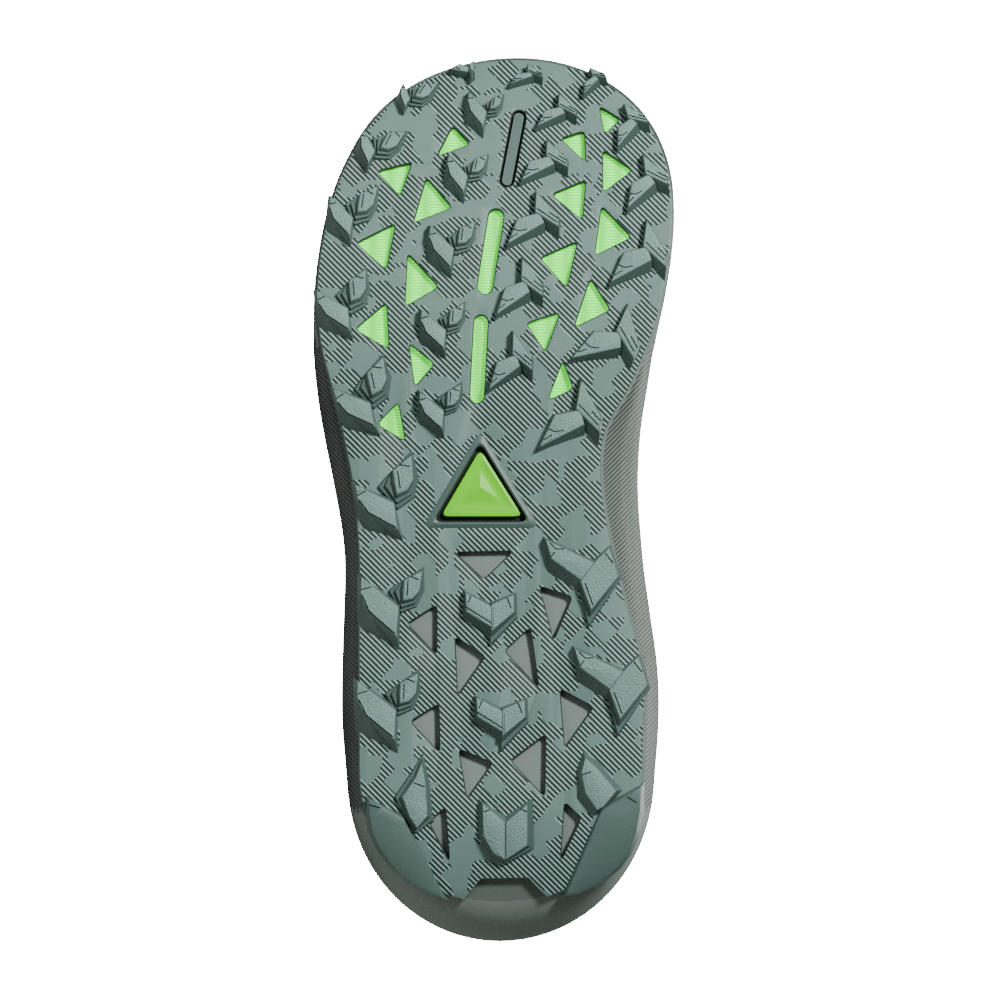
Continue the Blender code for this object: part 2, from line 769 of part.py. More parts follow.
def topline_point(turn):
    share = (1.0 - math.cos(turn)) / 2.0
    side = -1.0 if turn % FULL_TURN <= math.pi else 1.0
    x = read(TOPLINE, "back", share) * SOLE_LENGTH
    half = max(0.0, read(TOPLINE, "half", share)) * HEEL_WIDTH
    if share >= RIDGE_SHARE:
        half = 0.0
    return Vector((x, centre_line(x) + side * half, read(TOPLINE, "height", share) * COLLAR_HEIGHT))


def upper_point(turn, row):
    """A point of the upper's outer face: row 0 is the feather edge, row 1 the topline."""
    share = (1.0 - math.cos(turn)) / 2.0
    here, outward = edge_frame(WALL_EDGE, turn)
    foot = here - outward * feather_inset()
    foot.z = bed_height(foot.x) + GAP
    top = topline_point(turn)
    rise = top.z - foot.z
    low = foot + Vector((0, 0, rise * read(RISES, "foot", share)))
    reach = Vector((foot.x - top.x, foot.y - top.y, 0)) * read(RISES, "shoulder", share)
    high = top + reach - Vector((0, 0, rise * read(RISES, "drop", share)))
    rest = 1.0 - row
    ends = foot * rest ** 3 + top * row ** 3
    return ends + low * (3 * rest * rest * row) + high * (3 * rest * row * row)


def upper_normal(turn, row):
    step = 0.004
    row = min(row, 1.0 - step)
    along = upper_point(turn + step, row) - upper_point(turn - step, row)
    up = upper_point(turn, row + step) - upper_point(turn, row - step)
    return along.cross(up).normalized()


def overlay_step(share, index):
    """How far an overlay stands out of the wall at one row of the upper's grid."""
    guard = share > GUARD_SHARE and GUARD_ROWS[0] <= index <= GUARD_ROWS[1]
    counter = share < COUNTER_SHARE and COUNTER_ROWS[0] <= index <= COUNTER_ROWS[1]
    eyestay = EYESTAY_SHARES[0] < share < EYESTAY_SHARES[1] and index >= EYESTAY_ROWS[0]
    return OVERLAY_STEP if guard or counter or eyestay else 0.0


def make_upper(parts, cutters):
    model = bmesh.new()
    rings = []
    padded = []
    for index, row in enumerate(UPPER_ROWS):
        ring = []
        for turn in loop_turns():
            share = (1.0 - math.cos(turn)) / 2.0
            step = overlay_step(share, index)
            point = upper_point(turn, row)
            if step:
                point = point + upper_normal(turn, row) * step
            vertex = model.verts.new(point)
            ring.append(vertex)
            if share < PADDED_SHARE and index >= PADDED_ROW:
                padded.append(vertex)
        rings.append(ring)
    for low, high in zip(rings, rings[1:]):
        skin(model, low, high)
    model.verts.index_update()
    padded_numbers = [vertex.index for vertex in padded]
    mesh = bpy.data.meshes.new("upper")
    ridge = [vertex for vertex in rings[-1] if vertex.co.x > TOPLINE[11].back * SOLE_LENGTH - MERGE]
    bmesh.ops.remove_doubles(model, verts=ridge, dist=MERGE)
    model.to_mesh(mesh)
    model.free()
    upper = mesh_object("upper", mesh, parts)
    group = upper.vertex_groups.new(name="padded_collar")
    group.add([number for number in padded_numbers if number < len(mesh.vertices)], 1.0, "REPLACE")
    solidify = upper.modifiers.new("wall", "SOLIDIFY")
    solidify.thickness = COLLAR_WALL
    solidify.offset = -1.0
    solidify.use_even_offset = True
    solidify.vertex_group = group.name
    solidify.thickness_vertex_group = UPPER_WALL / COLLAR_WALL
    combine(upper, joined("eyelet_cutters", eyelet_cutters(), cutters), "DIFFERENCE")
    return upper


def share_to_turn(share, side):
    turn = math.acos(1.0 - 2.0 * share)
    return turn if side < 0 else FULL_TURN - turn


def eyelet_shares():
    start, finish = EYELET_SHARES
    return [start + (finish - start) * i / (EYELET_PAIRS - 1) for i in range(EYELET_PAIRS)]


def eyelet_cutters():
    meshes = []
    for share in eyelet_shares():
        for side in (-1, 1):
            turn = share_to_turn(share, side)
            normal = upper_normal(turn, EYELET_ROW)
            model = bmesh.new()
            bmesh.ops.create_cone(
                model,
                cap_ends=True,
                segments=EYELET_SIDES,
                radius1=EYELET_RADIUS,
                radius2=EYELET_RADIUS,
                depth=4.0 * UPPER_WALL,
            )
            place = Matrix.Translation(upper_point(turn, EYELET_ROW))
            place = place @ normal.to_track_quat("Z", "Y").to_matrix().to_4x4()
            bmesh.ops.transform(model, matrix=place, verts=model.verts)
            mesh = bpy.data.meshes.new("eyelet_cutter")
            model.to_mesh(mesh)
            model.free()
            meshes.append(mesh)
    return meshes


def tongue_section(share, shift, narrow):
    """Points across the tongue's top face, just inside the eyestay, lateral side first."""
    inside = UPPER_WALL - OVERLAY_STEP + TONGUE_CLEARANCE
    sides = []
    for side in (-1, 1):
        turn = share_to_turn(share, side)
        points = []
        for row in TONGUE_ROWS:
            points.append(upper_point(turn, row) - upper_normal(turn, row) * inside)
        sides.append(points)
    lateral, medial = sides
    centre = (lateral[-1] + medial[-1]) / 2.0
    section = lateral + [centre] + medial[::-1]
    middle = centre.y
    return [Vector((p.x, middle + (p.y - middle) * narrow, p.z)) + shift for p in section]


def make_tongue(parts):
    start, finish = TONGUE_STATIONS
    shares = [(1.0 - math.cos(math.pi * i / STATIONS)) / 2.0 for i in range(start, finish + 1)]
    first, last = shares[0], shares[-1]
    rise = Vector((-TONGUE_RISE, 0, TONGUE_RISE))
    tuck = Vector((TONGUE_TUCK, 0, -TUCK_DROP))
    sections = [tongue_section(first, rise * tip.along, tip.width) for tip in TONGUE_TIP]
    sections.extend(tongue_section(share, Vector(), 1.0) for share in shares)
    sections.append(tongue_section(last, tuck, TUCK_WIDTH))
    model = bmesh.new()
    rows = [[model.verts.new(point) for point in section] for section in sections]
    for near, far in zip(rows, rows[1:]):
        for i in range(len(near) - 1):
            model.faces.new((near[i], near[i + 1], far[i + 1], far[i]))
    bmesh.ops.recalc_face_normals(model, faces=model.faces)
    if sum((face.normal.z for face in model.faces)) < 0:
        bmesh.ops.reverse_faces(model, faces=model.faces)
    mesh = bpy.data.meshes.new("tongue")
    model.to_mesh(mesh)
    model.free()
    tongue = mesh_object("tongue", mesh, parts)
    solidify = tongue.modifiers.new("padding", "SOLIDIFY")
    solidify.thickness = TONGUE
    solidify.offset = -1.0
    return tongue


def lace_route(near_share, far_share, side):
    """From an eyelet on one side, over the tongue, to an eyelet on the other side."""
    clear = LACE_RADIUS + OVERLAY_STEP + LACE_CLEARANCE
    points = []
    for turn_side, share, row in (
        (side, near_share, EYELET_ROW),
        (side, near_share + (far_share - near_share) * LACE_LEAVE, 1.0),
        (-side, far_share + (near_share - far_share) * LACE_LEAVE, 1.0),
        (-side, far_share, EYELET_ROW),
    ):
        turn = share_to_turn(share, turn_side)
        points.append(upper_point(turn, row) + upper_normal(turn, row) * clear)
    crown = (points[1] + points[2]) / 2.0 + Vector(THROAT_UP) * LACE_CROWN
    return [points[0], points[1], crown, points[2], points[3]]


def lace_strand(route, collection):
    curve = bpy.data.curves.new("strand", "CURVE")
    curve.dimensions = "3D"
    curve.bevel_depth = LACE_RADIUS
    curve.bevel_resolution = 0
    curve.use_fill_caps = True
    spline = curve.splines.new("POLY")
    spline.points.add(len(route) - 1)
    for point, place in zip(spline.points, route):
        point.co = (*place, 1.0)
    strand = bpy.data.objects.new("strand", curve)
    collection.objects.link(strand)
    bpy.context.view_layer.update()
    evaluated = strand.evaluated_get(bpy.context.evaluated_depsgraph_get())
    mesh = bpy.data.meshes.new_from_object(evaluated)
    bpy.data.objects.remove(strand, do_unlink=True)
    model = bmesh.new()
    model.from_mesh(mesh)
    bmesh.ops.remove_doubles(model, verts=model.verts, dist=MERGE)
    bmesh.ops.recalc_face_normals(model, faces=model.faces)
    model.to_mesh(mesh)
    model.free()
    return mesh


def make_lace(parts, cutters):
    """Crossings from pair to pair and one straight bar over the throat's base."""
    shares = eyelet_shares()
    over, under = [], []
    for near, far in zip(shares, shares[1:]):
        over.append(lace_strand(lace_route(near, far, -1), cutters))
        under.append(lace_strand(lace_route(near, far, 1), cutters))
    bar = lace_strand(lace_route(shares[-1], shares[-1], -1), cutters)
    lace = joined("lace", over, parts)
    combine(lace, joined("under_strands", under, cutters), "UNION")
    combine(lace, joined("bottom_bar", [bar], cutters), "UNION")
    return lace


def evaluated_points(piece):
    evaluated = piece.evaluated_get(bpy.context.evaluated_depsgraph_get())
    mesh = evaluated.to_mesh()
    mesh.calc_loop_triangles()
    points = [vertex.co.copy() for vertex in mesh.vertices]
    triangles = [tuple(triangle.vertices) for triangle in mesh.loop_triangles]
    evaluated.to_mesh_clear()
    return points, triangles


def mass_centre(solids):
    total = 0.0
    moment = Vector()
    for points, triangles in solids:
        for a, b, c in triangles:
            volume = points[a].dot(points[b].cross(points[c])) / 6.0
            total += volume
            moment += volume * (points[a] + points[b] + points[c]) / 4.0
    return moment / total


def resting_direction(solids):
    """Outward direction of the hull face that carries the shoe when it lies on its lateral side."""
    centre = mass_centre(solids)
    hull = bmesh.new()
    for points, _ in solids:
        for point in points:
            hull.verts.new(point)
    result = bmesh.ops.convex_hull(hull, input=hull.verts)
    faces = [item for item in result["geom"] if isinstance(item, bmesh.types.BMFace)]
    bmesh.ops.recalc_face_normals(hull, faces=faces)
    best = None
    for face in faces:
        corners = [vertex.co.copy() for vertex in face.verts]
        normal = face.normal.copy()
        if (corners[0] - centre).dot(normal) < 0:
            normal = -normal
        if normal.y > -0.5:
            continue
        foot = centre + normal * (corners[0] - centre).dot(normal)
        arms = [corner - foot for corner in corners]
        spans = [arm.cross(following) for arm, following in zip(arms, arms[1:] + arms[:1])]
        signs = [span.dot(normal) > 0 for span in spans]
        if all(signs) or not any(signs):
            if best is None or face.calc_area() > best[0]:
                best = (face.calc_area(), normal)
    hull.free()
    return best[1]


def lay_down(pieces, collection):
    """Turns the worn shoe onto its lateral side, toe to -X, sole to -Y, and stands it on z = 0."""
    bpy.context.view_layer.update()
    solids = [evaluated_points(piece) for piece in pieces]
    roll = Matrix(((-1, 0, 0), (0, 0, 1), (0, 1, 0)))
    down = roll @ resting_direction(solids)
    settle = down.rotation_difference(Vector((0, 0, -1))).to_matrix()
    turned = settle @ roll
    spread = [turned @ point for points, _ in solids for point in points]
    low = Vector([min(point[axis] for point in spread) for axis in range(3)])
    high = Vector([max(point[axis] for point in spread) for axis in range(3)])
    shift = -Vector(((low.x + high.x) / 2.0, (low.y + high.y) / 2.0, low.z))
    rest = bpy.data.objects.new("resting_shoe", None)
    collection.objects.link(rest)
    rest.matrix_world = Matrix.Translation(shift) @ turned.to_4x4()
    bpy.context.view_layer.update()
    for piece in pieces:
        piece.parent = rest


def main():
    clear_scene()
    parts = new_collection("trail_running_shoe")
    cutters = new_collection("cutters")
    pieces = [
        make_outsole(parts, cutters),
        make_forefoot_layer(parts),
        make_sole_badge(parts),
        make_midsole(parts, cutters),
        make_insole(parts),
        make_upper(parts, cutters),
        make_tongue(parts),
        make_lace(parts, cutters),
    ]
    lay_down(pieces, parts)
    for tool in cutters.objects:
        tool.parent = bpy.data.objects["resting_shoe"]


main()
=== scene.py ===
"""Visual model of a trail running shoe for the right foot, lying on its lateral side.

Every piece is modelled as the shoe is worn: x runs from heel to toe, y towards the medial side,
z up, with the lug tips on z = 0. One matrix then lays the worn shoe where the frame has it.
"""
import json
import math
from collections import namedtuple

import bmesh
import bpy
from bpy.props import FloatProperty, FloatVectorProperty, PointerProperty
from mathutils import Matrix, Vector


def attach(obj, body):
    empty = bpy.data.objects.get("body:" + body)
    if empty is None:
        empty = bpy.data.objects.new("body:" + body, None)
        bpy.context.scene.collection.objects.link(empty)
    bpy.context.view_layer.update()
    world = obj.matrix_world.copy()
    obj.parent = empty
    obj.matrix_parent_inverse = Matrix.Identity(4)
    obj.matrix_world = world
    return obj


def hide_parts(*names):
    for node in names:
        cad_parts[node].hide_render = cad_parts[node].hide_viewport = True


bl_info = {
    "name": "Trail running shoe",
    "version": (1, 0, 0),
    "blender": (4, 5, 0),
    "location": "View3D > Sidebar > Shoe",
    "description": "Builds a trail running shoe with a lugged, windowed sole and its studio stage",
    "category": "Add Mesh",
}

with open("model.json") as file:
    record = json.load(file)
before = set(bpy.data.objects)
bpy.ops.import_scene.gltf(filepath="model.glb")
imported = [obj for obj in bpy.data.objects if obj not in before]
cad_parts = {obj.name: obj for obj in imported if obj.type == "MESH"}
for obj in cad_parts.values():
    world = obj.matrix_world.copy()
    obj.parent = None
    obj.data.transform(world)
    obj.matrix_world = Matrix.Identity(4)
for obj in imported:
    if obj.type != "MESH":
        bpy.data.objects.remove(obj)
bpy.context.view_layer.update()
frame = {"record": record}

# Driving sizes of the sole, in metres
SOLE_LENGTH = 0.300
TIP_REACH = 0.0024
SOLE_TIP = SOLE_LENGTH + TIP_REACH
BALL_WIDTH = 0.1194
HEEL_WIDTH = 0.108
ARCH_SPAN = (0.40, 0.65)
HEEL_STACK = 0.038
FOREFOOT_STACK = 0.031
TOE_SPRING = 0.026
TOE_START = 0.64
TOE_CURVE = 1.7
HEEL_BEVEL = 0.016
HEEL_FINISH = 0.165
HEEL_CURVE = 1.8
TOE_SWING = 0.006
SWING_START = 0.667
HEEL_REACH = 0.055
TOE_REACH = 0.045
TREAD_HEEL_SETBACK = 0.013
TREAD_TOE_SETBACK = 0.0006
TREAD_HEEL_REACH = 0.045
RUBBER = 0.0022
LUG_HEIGHT = 0.004
FLANGE_HEIGHT = 0.0022
LUG_ROOT = 0.0008
ARM_DROP = 0.00025
BADGE_PEAK = 0.0012
LAYER = 0.0008
LAYER_MARGIN = 0.005
FOAM_LEDGE = 0.0008
RIM_INSET = 0.0065
RIM_WALL = 0.0035

# Driving sizes of the upper, footbed, tongue and lace, in metres
COLLAR_HEIGHT = 0.104
UPPER_WALL = 0.0020
COLLAR_WALL = 0.0050
OVERLAY_STEP = 0.0008
INSOLE = 0.004
TONGUE = 0.004
TONGUE_RISE = 0.016
TONGUE_TUCK = 0.010
TUCK_DROP = 0.0055
TONGUE_CLEARANCE = 0.0009
EYELET_RADIUS = 0.0021
EYELET_PAIRS = 6
LACE_RADIUS = 0.0014
LACE_CROWN = 0.002
THROAT_UP = (0.35, 0.0, 0.94)
LACE_CLEARANCE = 0.0009
LACE_LEAVE = 0.15
GAP = 0.0003

# Stations from heel to toe on each side of the shoe
STATIONS = 26
FULL_TURN = 2.0 * math.pi
MERGE = 0.00001

# The tread is charted in a drawing seen from below, toe up, u to the medial side and v to the heel
CHART_MID = 284.0
CHART_HEEL = 944.0
CHART_LENGTH = 882.0
CHART_BALL = 351.0
CHART_HEEL_WIDTH = 317.5

# Half widths as shares of the local sole width: the foam's widest line, then the rubber's edge
Section = namedtuple("Section", "along lateral medial tread_lateral tread_medial")
SECTIONS = (
    Section(0.00, 0.481, 0.481, 0.444, 0.449),
    Section(0.17, 0.483, 0.487, 0.444, 0.449),
    Section(0.25, 0.499, 0.502, 0.445, 0.454),
    Section(0.31, 0.499, 0.499, 0.445, 0.454),
    Section(0.38, 0.493, 0.473, 0.445, 0.402),
    Section(0.45, 0.488, 0.444, 0.441, 0.350),
    Section(0.52, 0.500, 0.416, 0.442, 0.306),
    Section(0.58, 0.514, 0.410, 0.457, 0.305),
    Section(0.63, 0.525, 0.422, 0.480, 0.369),
    Section(0.69, 0.537, 0.445, 0.518, 0.430),
    Section(0.75, 0.542, 0.467, 0.534, 0.459),
    Section(0.82, 0.526, 0.475, 0.518, 0.468),
    Section(0.90, 0.483, 0.456, 0.477, 0.450),
    Section(1.00, 0.490, 0.452, 0.484, 0.446),
)

# Footbed and rim heights above the ground, as shares of the local stack
Height = namedtuple("Height", "along bed rim")
HEIGHTS = (
    Height(0.00, 1.05, 1.37),
    Height(0.12, 1.03, 1.31),
    Height(0.30, 1.00, 1.22),
    Height(0.50, 1.00, 1.20),
    Height(0.70, 1.00, 1.22),
    Height(0.85, 1.03, 1.29),
    Height(0.95, 1.16, 1.39),
    Height(1.00, 1.23, 1.45),
)

# The foam's side, bottom up: place between tread edge and widest line, inset, share of its height
WallRow = namedtuple("WallRow", "outward inset rise")
SIDE_ROWS = (
    WallRow(0.00, 0.0000, 0.000),
    WallRow(0.06, 0.0000, 0.010),
    WallRow(0.30, 0.0000, 0.090),
    WallRow(0.52, 0.0000, 0.160),
    WallRow(0.57, 0.0000, 0.180),
    WallRow(0.75, 0.0000, 0.250),
    WallRow(0.90, 0.0000, 0.315),
    WallRow(0.97, 0.0000, 0.370),
    WallRow(1.00, 0.0000, 0.440),
    WallRow(1.00, 0.0001, 0.500),
    WallRow(1.00, 0.0004, 0.570),
    WallRow(1.00, 0.0008, 0.620),
    WallRow(1.00, 0.0017, 0.645),
    WallRow(1.00, 0.0026, 0.680),
    WallRow(1.00, 0.0034, 0.780),
    WallRow(1.00, 0.0044, 0.880),
    WallRow(1.00, 0.0056, 0.950),
    WallRow(1.00, 0.0070, 0.990),
    WallRow(1.00, 0.0082, 1.000),
)
RIBBED_RINGS = 6
WAIST_RIBS = (0.045, 0.205)

# Topline, throat and vamp ridge by share of the way round the feather edge: shares of the
# sole's length, the heel's width and the collar's height
Topline = namedtuple("Topline", "along back half height")
TOPLINE = (
    Topline(0.000, 0.047, 0.000, 1.000),
    Topline(0.014, 0.056, 0.130, 0.990),
    Topline(0.070, 0.100, 0.232, 0.950),
    Topline(0.165, 0.173, 0.287, 0.905),
    Topline(0.270, 0.260, 0.287, 0.915),
    Topline(0.377, 0.333, 0.250, 0.990),
    Topline(0.465, 0.373, 0.195, 1.058),
    Topline(0.553, 0.440, 0.167, 1.030),
    Topline(0.640, 0.517, 0.148, 0.970),
    Topline(0.730, 0.593, 0.130, 0.895),
    Topline(0.817, 0.657, 0.083, 0.827),
    Topline(0.870, 0.690, 0.000, 0.790),
    Topline(0.965, 0.783, 0.000, 0.700),
    Topline(1.000, 0.855, 0.000, 0.645),
)

# How the wall rises, as shares of its own height and reach: near the sole, then near the topline
Rise = namedtuple("Rise", "along foot shoulder drop")
RISES = (
    Rise(0.00, 0.45, 0.30, 0.32),
    Rise(0.40, 0.45, 0.30, 0.34),
    Rise(0.60, 0.50, 0.36, 0.22),
    Rise(0.82, 0.55, 0.50, 0.06),
    Rise(1.00, 0.55, 0.52, 0.02),
)
GUARD_SHARE = 0.74
COUNTER_SHARE = 0.17
EYESTAY_ROW = 0.79
EYESTAY_SHARES = (0.43, 0.86)
PADDED_SHARE = 0.40
EYELET_SHARES = (0.49, 0.80)
EYELET_ROW = 0.91
TONGUE_STATIONS = (12, 18)
TONGUE_ROWS = (0.80, 0.90, 1.0)
Tip = namedtuple("Tip", "along width")
TONGUE_TIP = (Tip(1.0, 0.46), Tip(0.84, 0.66), Tip(0.5, 0.80), Tip(0.2, 0.88))
TUCK_WIDTH = 0.90
RIDGE_SHARE = 0.87
RIDGE_ROW = 11

# Lug arms on the chart, from the lug's own notch or apex: where each meets the rubber, its tip face
Arm = namedtuple("Arm", "root tip")
CHEVRON_OUTER = Arm(((-42, -34), (2, -4), (1, 46), (-40, 24), (-42, 12), (-42, -4)),
                    ((-38, -31), (0, 0), (-2, 31), (-27, 8), (-35, -2), (-39, -14)))
STEPPED_ARM = Arm(((1.5, 8), (-13, -16), (4, -27), (25, -41), (26, -16), (18, 1)),
                  ((3.5, -6), (4, -16), (5, -27), (24, -37), (21, -16), (14, -8)))
ROOF_RIGHT = Arm(((-2, -2), (23, 29), (21, 54), (-2, 31)), ((0, 0), (20, 27), (21, 41), (-1, 24)))
ROOF_LEFT = Arm(((4, 22), (-19, 31), (-28, 66), (9, 46)), ((3, 24), (-17, 31), (-26, 60), (8, 36)))
HOOK_RIGHT = Arm(((0, -3), (16, -17), (27, 18), (-7, 70), (-18, 22)),
                 ((0, 0), (14, -14), (24, 15), (-4, 50), (-15, 20)))
HOOK_LEFT = Arm(((6, 2), (-52, -25), (-48, 14), (-12, 34)), ((5, 4), (-50, -22), (-44, -2), (-8, 24)))
HEART_LEFT = Arm(((5, 1), (-28, -14), (-29, 15), (4, 40)), ((4, 4), (-26, -12), (-25, 8), (3, 25)))
HEART_RIGHT = Arm(((-0.6, -2), (26, -12), (27, 15), (-0.6, 45)), ((0, 0), (23, -10), (24, 8), (0, 28)))

# Chevron lugs, notch first: the lateral column from toe to heel, then the one inside it
Chevron = namedtuple("Chevron", "u v outer inner turn")
CHEVRONS = (
    Chevron(194, 97, 0.36, 0.72, 28),
    Chevron(159, 150, 0.50, 0.84, 24),
    Chevron(137, 217, 0.66, 0.92, 5),
    Chevron(132, 308, 0.76, 1.00, -9),
    Chevron(154, 403, 0.82, 1.10, -17),
    Chevron(178, 503, 0.90, 1.18, -13),
    Chevron(183, 607, 1.00, 1.00, 0),
    Chevron(180, 710, 1.00, 1.00, -2),
    Chevron(271, 110, 0.56, 0.56, 10),
    Chevron(252, 175, 0.60, 0.68, 10),
    Chevron(238, 248, 0.68, 0.80, 5),
    Chevron(230, 330, 0.66, 0.76, 1),
    Chevron(228, 411, 0.64, 0.74, 0),
)

# Roof lugs, apex first: the column inside the medial one, then the medial column
Roof = namedtuple("Roof", "u v across along turn")
ROOFS = (
    Roof(258, 57, 0.50, 0.40, 40),
    Roof(312, 61, 0.70, 0.36, 0),
    Roof(343, 91, 0.85, 0.57, 0),
    Roof(331, 138, 1.00, 0.70, 0),
    Roof(320, 190, 1.10, 0.90, 0),
    Roof(306, 257, 1.00, 0.97, 0),
    Roof(297, 331, 0.94, 0.98, 0),
    Roof(374, 65, 0.60, 0.40, -20),
    Roof(408, 102, 0.80, 0.66, -20),
    Roof(427, 153, 0.95, 0.86, -10),
    Roof(431, 219, 1.15, 1.12, 6),
    Roof(412, 304, 1.25, 1.20, 22),
    Roof(365, 380, 1.25, 1.22, 8),
)

# Hook lugs of the medial waist and heart lugs of the heel's middle, by their notches
Spot = namedtuple("Spot", "u v")
HOOKS = (Spot(379, 561), Spot(408, 670))
HEARTS = (Spot(275, 604), Spot(286, 709))

# Windows through the rubber: three corners each on the chart
FOREFOOT_WINDOWS = (
    ((237, 127), (251, 142), (224, 152)),
    ((193, 164), (164, 171), (183, 192)),
    ((211, 180), (233, 206), (200, 219)),
    ((177, 226), (143, 243), (169, 266)),
    ((193, 257), (220, 286), (191, 303)),
    ((169, 306), (142, 329), (171, 346)),
    ((195, 347), (216, 364), (200, 383)),
    ((181, 406), (164, 424), (187, 438)),
    ((386, 108), (402, 118), (390, 129)),
    ((367, 132), (348, 138), (368, 157)),
    ((389, 152), (414, 169), (389, 188)),
    ((368, 182), (339, 194), (365, 216)),
    ((387, 209), (413, 236), (381, 252)),
    ((359, 244), (327, 258), (350, 284)),
    ((375, 282), (392, 309), (361, 324)),
    ((341, 315), (313, 324), (329, 348)),
    ((347, 365), (355, 388), (335, 397)),
)
HEEL_WINDOWS = (
    ((243, 554), (293, 553), (268, 577)),
    ((219, 608), (194, 624), (219, 651)),
    ((326, 589), (354, 598), (338, 636)),
    ((313, 631), (291, 651), (321, 684)),
    ((241, 640), (267, 657), (243, 692)),
    ((221, 707), (197, 722), (222, 749)),
    ((346, 692), (375, 708), (350, 744)),
    ((328, 738), (297, 761), (327, 793)),
    ((245, 752), (274, 764), (252, 795)),
    ((228, 811), (215, 823), (232, 858)),
    ((350, 806), (363, 819), (346, 857)),
)
BADGE_WINDOW = ((264, 442), (313, 522), (217, 522))
BADGE_PLUG = ((264, 449), (307, 517), (224, 517))
BADGE_APEX = (264, 487)
HEEL_NOTCH = ((248, 902), (265, 880), (312, 879), (331, 899))

# Slots with round ends: centre line from end to end and half width
Slot = namedtuple("Slot", "u_toe v_toe u_heel v_heel half")
SLOTS = (
    Slot(303, 116, 291, 179, 7.0),
    Slot(280, 216, 269, 286, 7.5),
    Slot(265, 322, 261, 396, 6.8),
)

Edge = namedtuple("Edge", "start finish heel_reach lateral medial")
WALL_EDGE = Edge(0.0, SOLE_TIP, HEEL_REACH, "lateral", "medial")
TREAD_EDGE = Edge(
    TREAD_HEEL_SETBACK,
    SOLE_TIP - TREAD_TOE_SETBACK,
    TREAD_HEEL_REACH,
    "tread_lateral",
    "tread_medial",
)
LAYER_SPAN = (0.50 * SOLE_LENGTH, 0.955 * SOLE_LENGTH)

# The two treads that the record states as mounts, on the chart
HEEL_TREAD = (158, 709)
FOREFOOT_TREAD = (377, 408)

# Fineness of the visual model
FINE_STATIONS = 104
FINE_LOOP = 2 * FINE_STATIONS
FINE_ARC = 10
CORNER_POINTS = 5
LAYER_STATIONS = 60
STITCH_STATIONS = 90
EYELET_SIDES = 20

# Finer shapes of the tread: lengths in metres, the rest as shares
FLAT_FACE = 0.97
WINDOW_CORNER = 0.0016
WINDOW_EASE = 0.0005
WINDOW_EDGE = 0.00038
WINDOW_MARGIN = 0.002
LUG_EDGE = 0.0003
ENGRAVING = 0.00042
ENGRAVING_DEPTH = 0.00045
LUG_SHOULDER = 0.96
STEP_RUN = 0.35
EDGE_ROUND = 0.35
SHARPEST_CORNER = 0.4
SHARP_ANGLE = math.radians(32)
BADGE_CORNER = 0.0034
PLUG_CORNER = 0.0028
SHADE_PLATE_GAP = 0.00004
PLATE = 0.00005
SLOT_FLOOR = 0.0005
SLOT_SHADE_DEPTH = 0.0020

# How far the floor of the slot nearest the toe stays inside it, and its plate of painted shade runs out, on
# the chart
SLOT_MARGIN = 2.0
SLOT_OVERRUN = 1.0

# Reach of the heel bevel's smooth skin, which is darkened as painted shade, height of the heel's arms, and
# the share of the foam's height over which its side leaves the tread
HEEL_SHADE_REACH = 0.03
HEEL_ARM_HEIGHT = 0.0032
FOAM_BLEND = 0.12

# Stage: the floor's half width and glow, and the lamps from the shoe's middle, with their sizes
FLOOR = 10.0
FLOOR_GLOW = 30.0
FLOOR_BOUNCE = 0.14
FLOOR_GREY = (0.3, 0.3, 0.3, 1.0)
FLOOR_ROUGHNESS = 0.9
WHITE = (1.0, 1.0, 1.0, 1.0)
SHOE_MIDDLE = (0.151, 0.0, 0.0)
SENSOR_WIDTH = 36.0
FARTHEST = 50.0
KEY_PLACE = (0.97, 0.97, 1.45)
KEY_SIZE = 0.4
FILL_PLACE = (0.2, 0.2, 2.4)
FILL_SIZE = 1.6
BACK_PLACE = (0.3, 1.6, 1.3)
BACK_SIZE = 1.2

# Profiles: the rim round the plug's window, the plug, the footbed, and the ring round an eyelet
RIM_PROFILE = ((0.0, -0.0003), (0.02, 0.0005), (0.07, 0.0009), (0.14, 0.0007), (0.26, -0.0002))
BADGE_PROFILE = (
    (0.0, RUBBER),
    (0.0, 0.0006),
    (0.03, 0.0),
    (0.12, -0.0002),
    (0.34, 0.0005),
    (0.60, 0.0003),
    (0.99, -BADGE_PEAK),
)
FOOTBED_PROFILE = ((0.0, 0.0), (0.0, 0.8), (0.0012, 1.0), (0.006, 0.88), (0.014, 0.80))
EYELET_PROFILE = (
    (EYELET_RADIUS, -0.0006),
    (EYELET_RADIUS, 0.0002),
    (EYELET_RADIUS + 0.0003, 0.0004),
    (EYELET_RADIUS + 0.0008, 0.0004),
    (EYELET_RADIUS + 0.0012, -0.0002),
)

# One stitch, the pitch and rows of the stitches, and how far crossing strands of lace lie apart
STITCH = Vector((0.0019, 0.0005, 0.0006))
STITCH_PITCH = 0.003
STITCH_INSET = 0.02
EYESTAY_STITCH_ROW = 0.765
COLLAR_STITCH_ROW = 0.74
COLLAR_STITCH_START = 0.05
STRAND_STEP = 0.4

# Narrow grooves in the tip faces, on the chart from each lug's own notch or apex
CHEVRON_OUTER_LINES = (((-37, -12), (-30, 4), (-4, 27)), ((-38, -17), (-28, -20)))
STEPPED_ARM_LINES = (((11, -31), (20, -27)), ((9, -26), (8, -11)))
ROOF_RIGHT_LINES = (((1, 20), (19, 35)), ((12, 24), (20, 31)))
ROOF_LEFT_LINES = (((-21, 43), (-15, 45), (-8, 43)), ((-17, 48), (-23, 53)))
HOOK_RIGHT_LINES = (((-10, 22), (-2, 44)), ((10, -8), (18, 2)))
HOOK_LEFT_LINES = (((-45, -18), (-39, -12), (-31, -12)), ((-40, -9), (-44, -4)))
HEART_RIGHT_LINES = (((2, 4), (2, 24)), ((16, -6), (20, 4)))
HEART_LEFT_LINES = (((-25, 3), (2, 20)), ((-20, -8), (-23, -1)))
NO_LINES = ()

